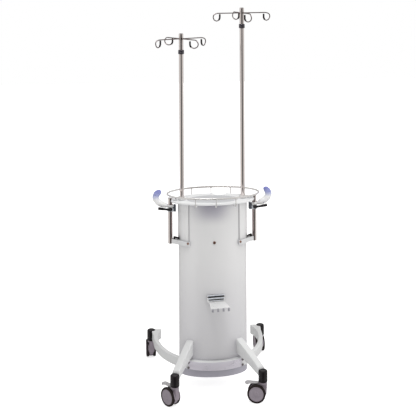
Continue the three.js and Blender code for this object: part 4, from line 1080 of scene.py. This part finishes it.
# ------------------------------------------------------------------ casters
TR, WR = 34.0, 49.5
for key, (cx, cy) in PLACE.items():
    row = key.split("_")[0]
    th = math.radians(TURN[key])
    # socket: a turned cup with a fine waist
    g = Geo().at(cx, cy, 0)
    prof = [(7, 110.2), (22.8, 110.2), (24.0, 111.2), (24.3, 113.0), (24.3, 118.5), (23.7, 119.2), (23.7, 120.4), (24.3, 121.1)]
    prof += [(24.3, 140), (24.3, 161.5), (24.0, 165.5), (22.6, 169.2), (20.4, 170.8), (16.5, 171.0), (9, 170.4), (8.4, 169.6), (0, 169.6)]
    g.lathe(prof, 56)
    g.build(f"socket_cup_{key}", "root", M["socket"], f"caster_socket_{key}", "black_plastic", angle=45)

    base = Matrix.Translation((cx, cy, 0)) @ Matrix.Rotation(th, 4, "Z")
    # hood: a web filling the gap between the wheels
    g = Geo()
    out = [(-20, 107.6), (21.6, 107.6), (21.6, 97)]
    for i in range(31):
        t = math.radians(90 - 238 * i / 30)
        out.append((TR + 45.2 * math.cos(t), WR + 45.2 * math.sin(t)))
    out += [(-7.6, 28), (-13.4, 38), (-18.0, 52), (-20.8, 70), (-21.3, 88), (-21.0, 100)]
    g.T = base @ Matrix.Rotation(math.pi / 2, 4, "X")
    g.prism(out[::-1], -11.7, 11.7)
    g.build(f"hood_web_{key}", f"caster_{key}", M["hood"], f"caster_fork_{key}", "hood", bevel=2.2, angle=60)
    # hood: a round crown under the socket, flaring into a brow over the wheels
    g = Geo()
    g.T = base
    g.lathe([(0, 99.6), (19.6, 99.6), (21.2, 100.4), (21.5, 101.6), (21.5, 105.8), (20.4, 108.2), (17.8, 109.2), (0, 109.3)], 48)
    g.build(f"hood_crown_{key}", f"caster_{key}", M["hood"], slot="hood", angle=50)
    # brow: a ribbed guard that follows the wheel's rim on the leading side
    g = Geo()
    g.T = base
    rings = []
    for i in range(23):
        t = math.radians(190 - 82 * i / 22)
        c_, s_ = math.cos(t), math.sin(t)
        half_w = 12.2 + 7.0 * math.sin(math.pi * min(1, (i + 0.5) / 17)) ** 0.7 * (i < 17)
        if i >= 17:
            half_w = 12.2
        r0, r1 = 50.6, 52.6
        ring = [(TR + r0 * c_, -half_w, WR + r0 * s_), (TR + (r1 - 0.7) * c_, -half_w, WR + (r1 - 0.7) * s_), (TR + r1 * c_, -half_w + 1.4, WR + r1 * s_),
                (TR + (r1 + 0.5) * c_, 0, WR + (r1 + 0.5) * s_), (TR + r1 * c_, half_w - 1.4, WR + r1 * s_), (TR + (r1 - 0.7) * c_, half_w, WR + (r1 - 0.7) * s_), (TR + r0 * c_, half_w, WR + r0 * s_)]
        rings.append(ring)
    g.loft(rings)
    g.build(f"hood_brow_{key}", f"caster_{key}", M["hood"], slot="hood", angle=50)
    g = Geo()
    g.T = base @ Matrix.Translation((TR, 0, WR)) @ Matrix.Rotation(-math.pi / 2, 4, "X")
    g.lathe([(0, -26.6), (3.4, -26.6), (3.9, -26), (3.9, 26), (3.4, 26.6), (0, 26.6)], 24)
    g.T = base
    g.lathe([(0, 100), (5.8, 100), (5.8, 145), (5.0, 146), (0, 146)], 24)
    g.build(f"axle_and_stem_{key}", f"caster_{key}", M["bolt"], slot="steel", angle=50)

    for w, sg in (("a", -1), ("b", 1)):
        flip = Matrix.Scale(-1, 4, (0, 0, 1)) if sg < 0 else Matrix.Identity(4)
        ax = base @ Matrix.Translation((TR, 0, WR)) @ Matrix.Rotation(-math.pi / 2, 4, "X") @ flip
        # tyre: rounded tread with three fine grooves
        g = Geo()
        g.T = ax
        prof = [(39.2, 13.0), (44.6, 12.5), (47.4, 13.2), (48.8, 14.6), (49.4, 16.0), (49.45, 16.6), (48.8, 17.0), (48.8, 17.6), (49.45, 18.0), (49.45, 19.6), (48.8, 20.0), (48.8, 20.6), (49.45, 21.0), (49.45, 22.6), (48.8, 23.0), (48.8, 23.5), (49.3, 23.9), (48.9, 25.2), (47.6, 26.8), (45.4, 27.7), (42.2, 27.7), (40.2, 27.2), (39.4, 26.4)]
        g.lathe(prof, 72, closed=True)
        g.build(f"tyre_{key}_{w}", f"wheel_{key}_{w}", M["tyre"], slot="wheel", angle=50)
        # disc: stepped face with a raised hub cap
        g = Geo()
        g.T = ax
        prof = [(4.6, 12.6), (38.6, 12.6), (39.0, 13.2), (39.0, 25.8), (38.5, 26.5), (37.4, 26.8), (36.2, 26.6), (35.4, 25.9), (34.8, 25.6), (14.0, 25.6), (13.0, 26.0), (12.4, 26.8), (11.2, 27.4), (7.6, 27.7), (0, 27.75), (0, 27.0), (4.6, 27.0)]
        g.lathe(prof, 72, closed=True)
        g.build(f"wheel_disc_{key}_{w}", f"wheel_{key}_{w}", M["disc"], f"wheel_{key}_{w}", "wheel", angle=40)

    if row == "front":
        # pedal: a scooped paddle with grip ridges
        g = Geo()
        g.T = base
        rings = []
        for i in range(17):
            q = i / 16
            x = 24.2 + 71.8 * q
            nose = max(0.0, min(1.0, (q - 0.6) / 0.25))
            nose = nose * nose * (3 - 2 * nose)
            w = 9.6 + 6.2 * math.sin(math.pi * min(1, q * 0.62 + 0.06))
            if q > 0.82:
                w *= math.sqrt(max(0.1, 1 - ((q - 0.82) / 0.18) ** 2 * 0.8))
            if q < 0.08:
                w *= 0.9
            top = 108.0 - 1.2 * math.sin(math.pi * q) - 0.5 * q - (3.4 * ((q - 0.72) / 0.28) ** 2 if q > 0.72 else 0)
            bot = 100.9 - 6.6 * nose + (3.6 * ((q - 0.86) / 0.14) ** 2 if q > 0.86 else 0)
            ring = []
            for a_, b_ in rounded(2 * w, max(2.0, top - bot), min(2.4, (top - bot) / 2.2), 4):
                dip = -1.0 * (1 - (a_ / w) ** 2) * (b_ > 0) * math.sin(math.pi * q)
                ring.append((x, a_, (top + bot) / 2 + b_ + dip))
            rings.append(ring)
        g.loft(rings)
        g.build(f"pedal_pad_{key}", f"pedal_{key}", M["pedal"], f"brake_pedal_{key}", "pedal", angle=55)
        g = Geo()
        for q in range(5):
            g.T = base @ Matrix.Translation((57 + q * 5.8, 0, 106.3 - q * 0.06))
            g.sweep([(0, -8.5, 0.3), (0, -4, -0.3), (0, 0, -0.45), (0, 4, -0.3), (0, 8.5, 0.3)], 0.8, 8)
        g.build(f"pedal_ridges_{key}", f"pedal_{key}", M["pedal"], slot="pedal")

# ------------------------------------------------------------------ stage, light and camera
def stage_obj(ob):
    bpy.context.scene.collection.objects.link(ob)
    ob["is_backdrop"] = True
    return ob

me = bpy.data.meshes.new("floor")
me.from_pydata([(-14, -14, -0.0006), (14, -14, -0.0006), (14, 14, -0.0006), (-14, 14, -0.0006)], [], [(0, 1, 2, 3)])
floor = stage_obj(bpy.data.objects.new("floor", me))
fm = bpy.data.materials.new("floor_pale")
fm.use_nodes = True
nt = fm.node_tree
bs = nt.nodes["Principled BSDF"]
bs.inputs["Roughness"].default_value = 0.85
bs.inputs["Specular IOR Level"].default_value = 0.1
ns = nt.nodes.new("ShaderNodeTexNoise")
ns.inputs["Scale"].default_value = 2.0
mx = nt.nodes.new("ShaderNodeMix")
mx.data_type = "RGBA"
mx.inputs["A"].default_value = (0.93, 0.93, 0.935, 1)
mx.inputs["B"].default_value = (0.95, 0.95, 0.95, 1)
nt.links.new(ns.outputs["Fac"], mx.inputs["Factor"])
nt.links.new(mx.outputs["Result"], bs.inputs["Base Color"])
bs.inputs["Emission Color"].default_value = (1, 1, 1, 1)
lpf = nt.nodes.new("ShaderNodeLightPath")
em = nt.nodes.new("ShaderNodeMath")
em.operation = "MULTIPLY"
nt.links.new(lpf.outputs["Is Camera Ray"], em.inputs[0])
em.inputs[1].default_value = 0.72
nt.links.new(em.outputs[0], bs.inputs["Emission Strength"])
me.materials.append(fm)
floor.visible_glossy = False

world = bpy.data.worlds.new("studio")
bpy.context.scene.world = world
world.use_nodes = True
world.cycles.sampling_method = "NONE"
nt = world.node_tree
N, L = nt.nodes, nt.links
N.clear()
out = N.new("ShaderNodeOutputWorld")
tc = N.new("ShaderNodeTexCoord")
sep = N.new("ShaderNodeSeparateXYZ")
L.new(tc.outputs["Generated"], sep.inputs[0])


def mth(op, a, b=None, c=None):
    n = N.new("ShaderNodeMath")
    n.operation = op
    for i, v in enumerate((a, b, c)):
        if v is None:
            continue
        if isinstance(v, (int, float)):
            n.inputs[i].default_value = v
        else:
            L.new(v, n.inputs[i])
    return n.outputs[0]


fx, fy = -math.sin(PSI), -math.cos(PSI)
hx, hy = sep.outputs["X"], sep.outputs["Y"]
length = mth("SQRT", mth("ADD", mth("MULTIPLY", hx, hx), mth("ADD", mth("MULTIPLY", hy, hy), 1e-5)))
front = mth("DIVIDE", mth("ADD", mth("MULTIPLY", hx, fx), mth("MULTIPLY", hy, fy)), length)
side_ = mth("DIVIDE", mth("ADD", mth("MULTIPLY", hx, -fy), mth("MULTIPLY", hy, fx)), length)


def ramp(v, a, b, lo_, hi_, mode="SMOOTHSTEP"):
    n = N.new("ShaderNodeMapRange")
    n.interpolation_type = mode
    n.inputs["From Min"].default_value, n.inputs["From Max"].default_value = a, b
    n.inputs["To Min"].default_value, n.inputs["To Max"].default_value = lo_, hi_
    L.new(v, n.inputs["Value"])
    return n.outputs["Result"]


zz = sep.outputs["Z"]
band = ramp(zz, 0.45, 0.75, 1.0, 0.0)
streak = mth("MULTIPLY", ramp(front, 0.85, 0.945, 0.0, 1.0), band)
mid = mth("MULTIPLY", mth("MULTIPLY", ramp(side_, 0.05, 0.35, 0.0, 1.0), ramp(side_, 0.62, 0.8, 1.0, 0.0)), ramp(front, 0.3, 0.6, 0.0, 1.0))
wide = ramp(front, 0.0, 0.9, 0.0, 1.0)
mirror = mth("MULTIPLY", mth("SUBTRACT", 0.70, mth("MULTIPLY", streak, 0.63)), mth("SUBTRACT", 1.0, mth("MULTIPLY", mth("MULTIPLY", mid, band), 0.4)))
soft = mth("SUBTRACT", 0.70, mth("MULTIPLY", mth("MULTIPLY", wide, band), 0.08))
soft = mth("MULTIPLY", soft, ramp(side_, -1.0, 1.0, 0.58, 1.56, "LINEAR"))
lpw = N.new("ShaderNodeLightPath")
mirror = mth("MULTIPLY", mirror, ramp(front, -0.97, -0.15, 0.66, 1.0))
strength = mth("ADD", mth("MULTIPLY", mirror, lpw.outputs["Is Glossy Ray"]), mth("MULTIPLY", soft, mth("SUBTRACT", 1.0, lpw.outputs["Is Glossy Ray"])))
strength = mth("MULTIPLY", strength, ramp(zz, 0.3, 0.9, 0.96, 1.06))
bg1 = N.new("ShaderNodeBackground")
bg1.inputs["Color"].default_value = (1.0, 0.992, 0.985, 1)
L.new(strength, bg1.inputs["Strength"])
bg2 = N.new("ShaderNodeBackground")
bg2.inputs["Color"].default_value = (1, 1, 1, 1)
bg2.inputs["Strength"].default_value = 1.0
lp = N.new("ShaderNodeLightPath")
mixs = N.new("ShaderNodeMixShader")
L.new(lp.outputs["Is Camera Ray"], mixs.inputs[0])
L.new(bg1.outputs[0], mixs.inputs[1])
L.new(bg2.outputs[0], mixs.inputs[2])
L.new(mixs.outputs[0], out.inputs["Surface"])


def area(name, loc, target, size, power, color=(1, 1, 1)):
    d = bpy.data.lights.new(name, "AREA")
    d.shape, d.size, d.size_y, d.energy, d.color = "RECTANGLE", size[0], size[1], power, color
    ob = bpy.data.objects.new(name, d)
    bpy.context.scene.collection.objects.link(ob)
    ob.location = pt(loc)
    ob.rotation_mode = "QUATERNION"
    ob.rotation_quaternion = (pt(target) - pt(loc)).to_track_quat("-Z", "Y")
    return ob


area("key_top", (-250, -1150, 4300), (0, 0, 900), (1.3, 1.1), 42)

cam = bpy.data.cameras.new("camera")
cam.sensor_width = 36.0
cam.lens = 946.0 / 416.0 * 36.0
camera = bpy.data.objects.new("camera", cam)
bpy.context.scene.collection.objects.link(camera)
D, H = 5300.0, 2310.0
camera.location = pt((-D * math.sin(PSI), -D * math.cos(PSI), H))
camera.rotation_euler = (Matrix.Rotation(-PSI, 3, "Z") @ Matrix.Rotation(math.pi / 2, 3, "X") @ Matrix.Rotation(-math.radians(0.3), 3, "Z")).to_euler()
bpy.context.scene.camera = camera
# The photograph's view is level with a lens shift; any other camera height has no shift.
for prop, value in (("shift_x", -3.2 / 416.0), ("shift_y", -238.0 / 416.0)):
    fc = cam.driver_add(prop)
    dr = fc.driver
    dr.type = "SCRIPTED"
    v = dr.variables.new()
    v.name = "z"
    v.type = "TRANSFORMS"
    v.targets[0].id = camera
    v.targets[0].transform_type = "LOC_Z"
    v.targets[0].transform_space = "WORLD_SPACE"
    dr.expression = f"{value:.6f} if abs(z - {H / 1000:.4f}) < 0.0005 else 0"

vs = bpy.context.scene.view_settings
vs.view_transform = "Standard"
vs.look = "None"
vs.exposure = 0.0
vs.gamma = 1.0

lo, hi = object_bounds()
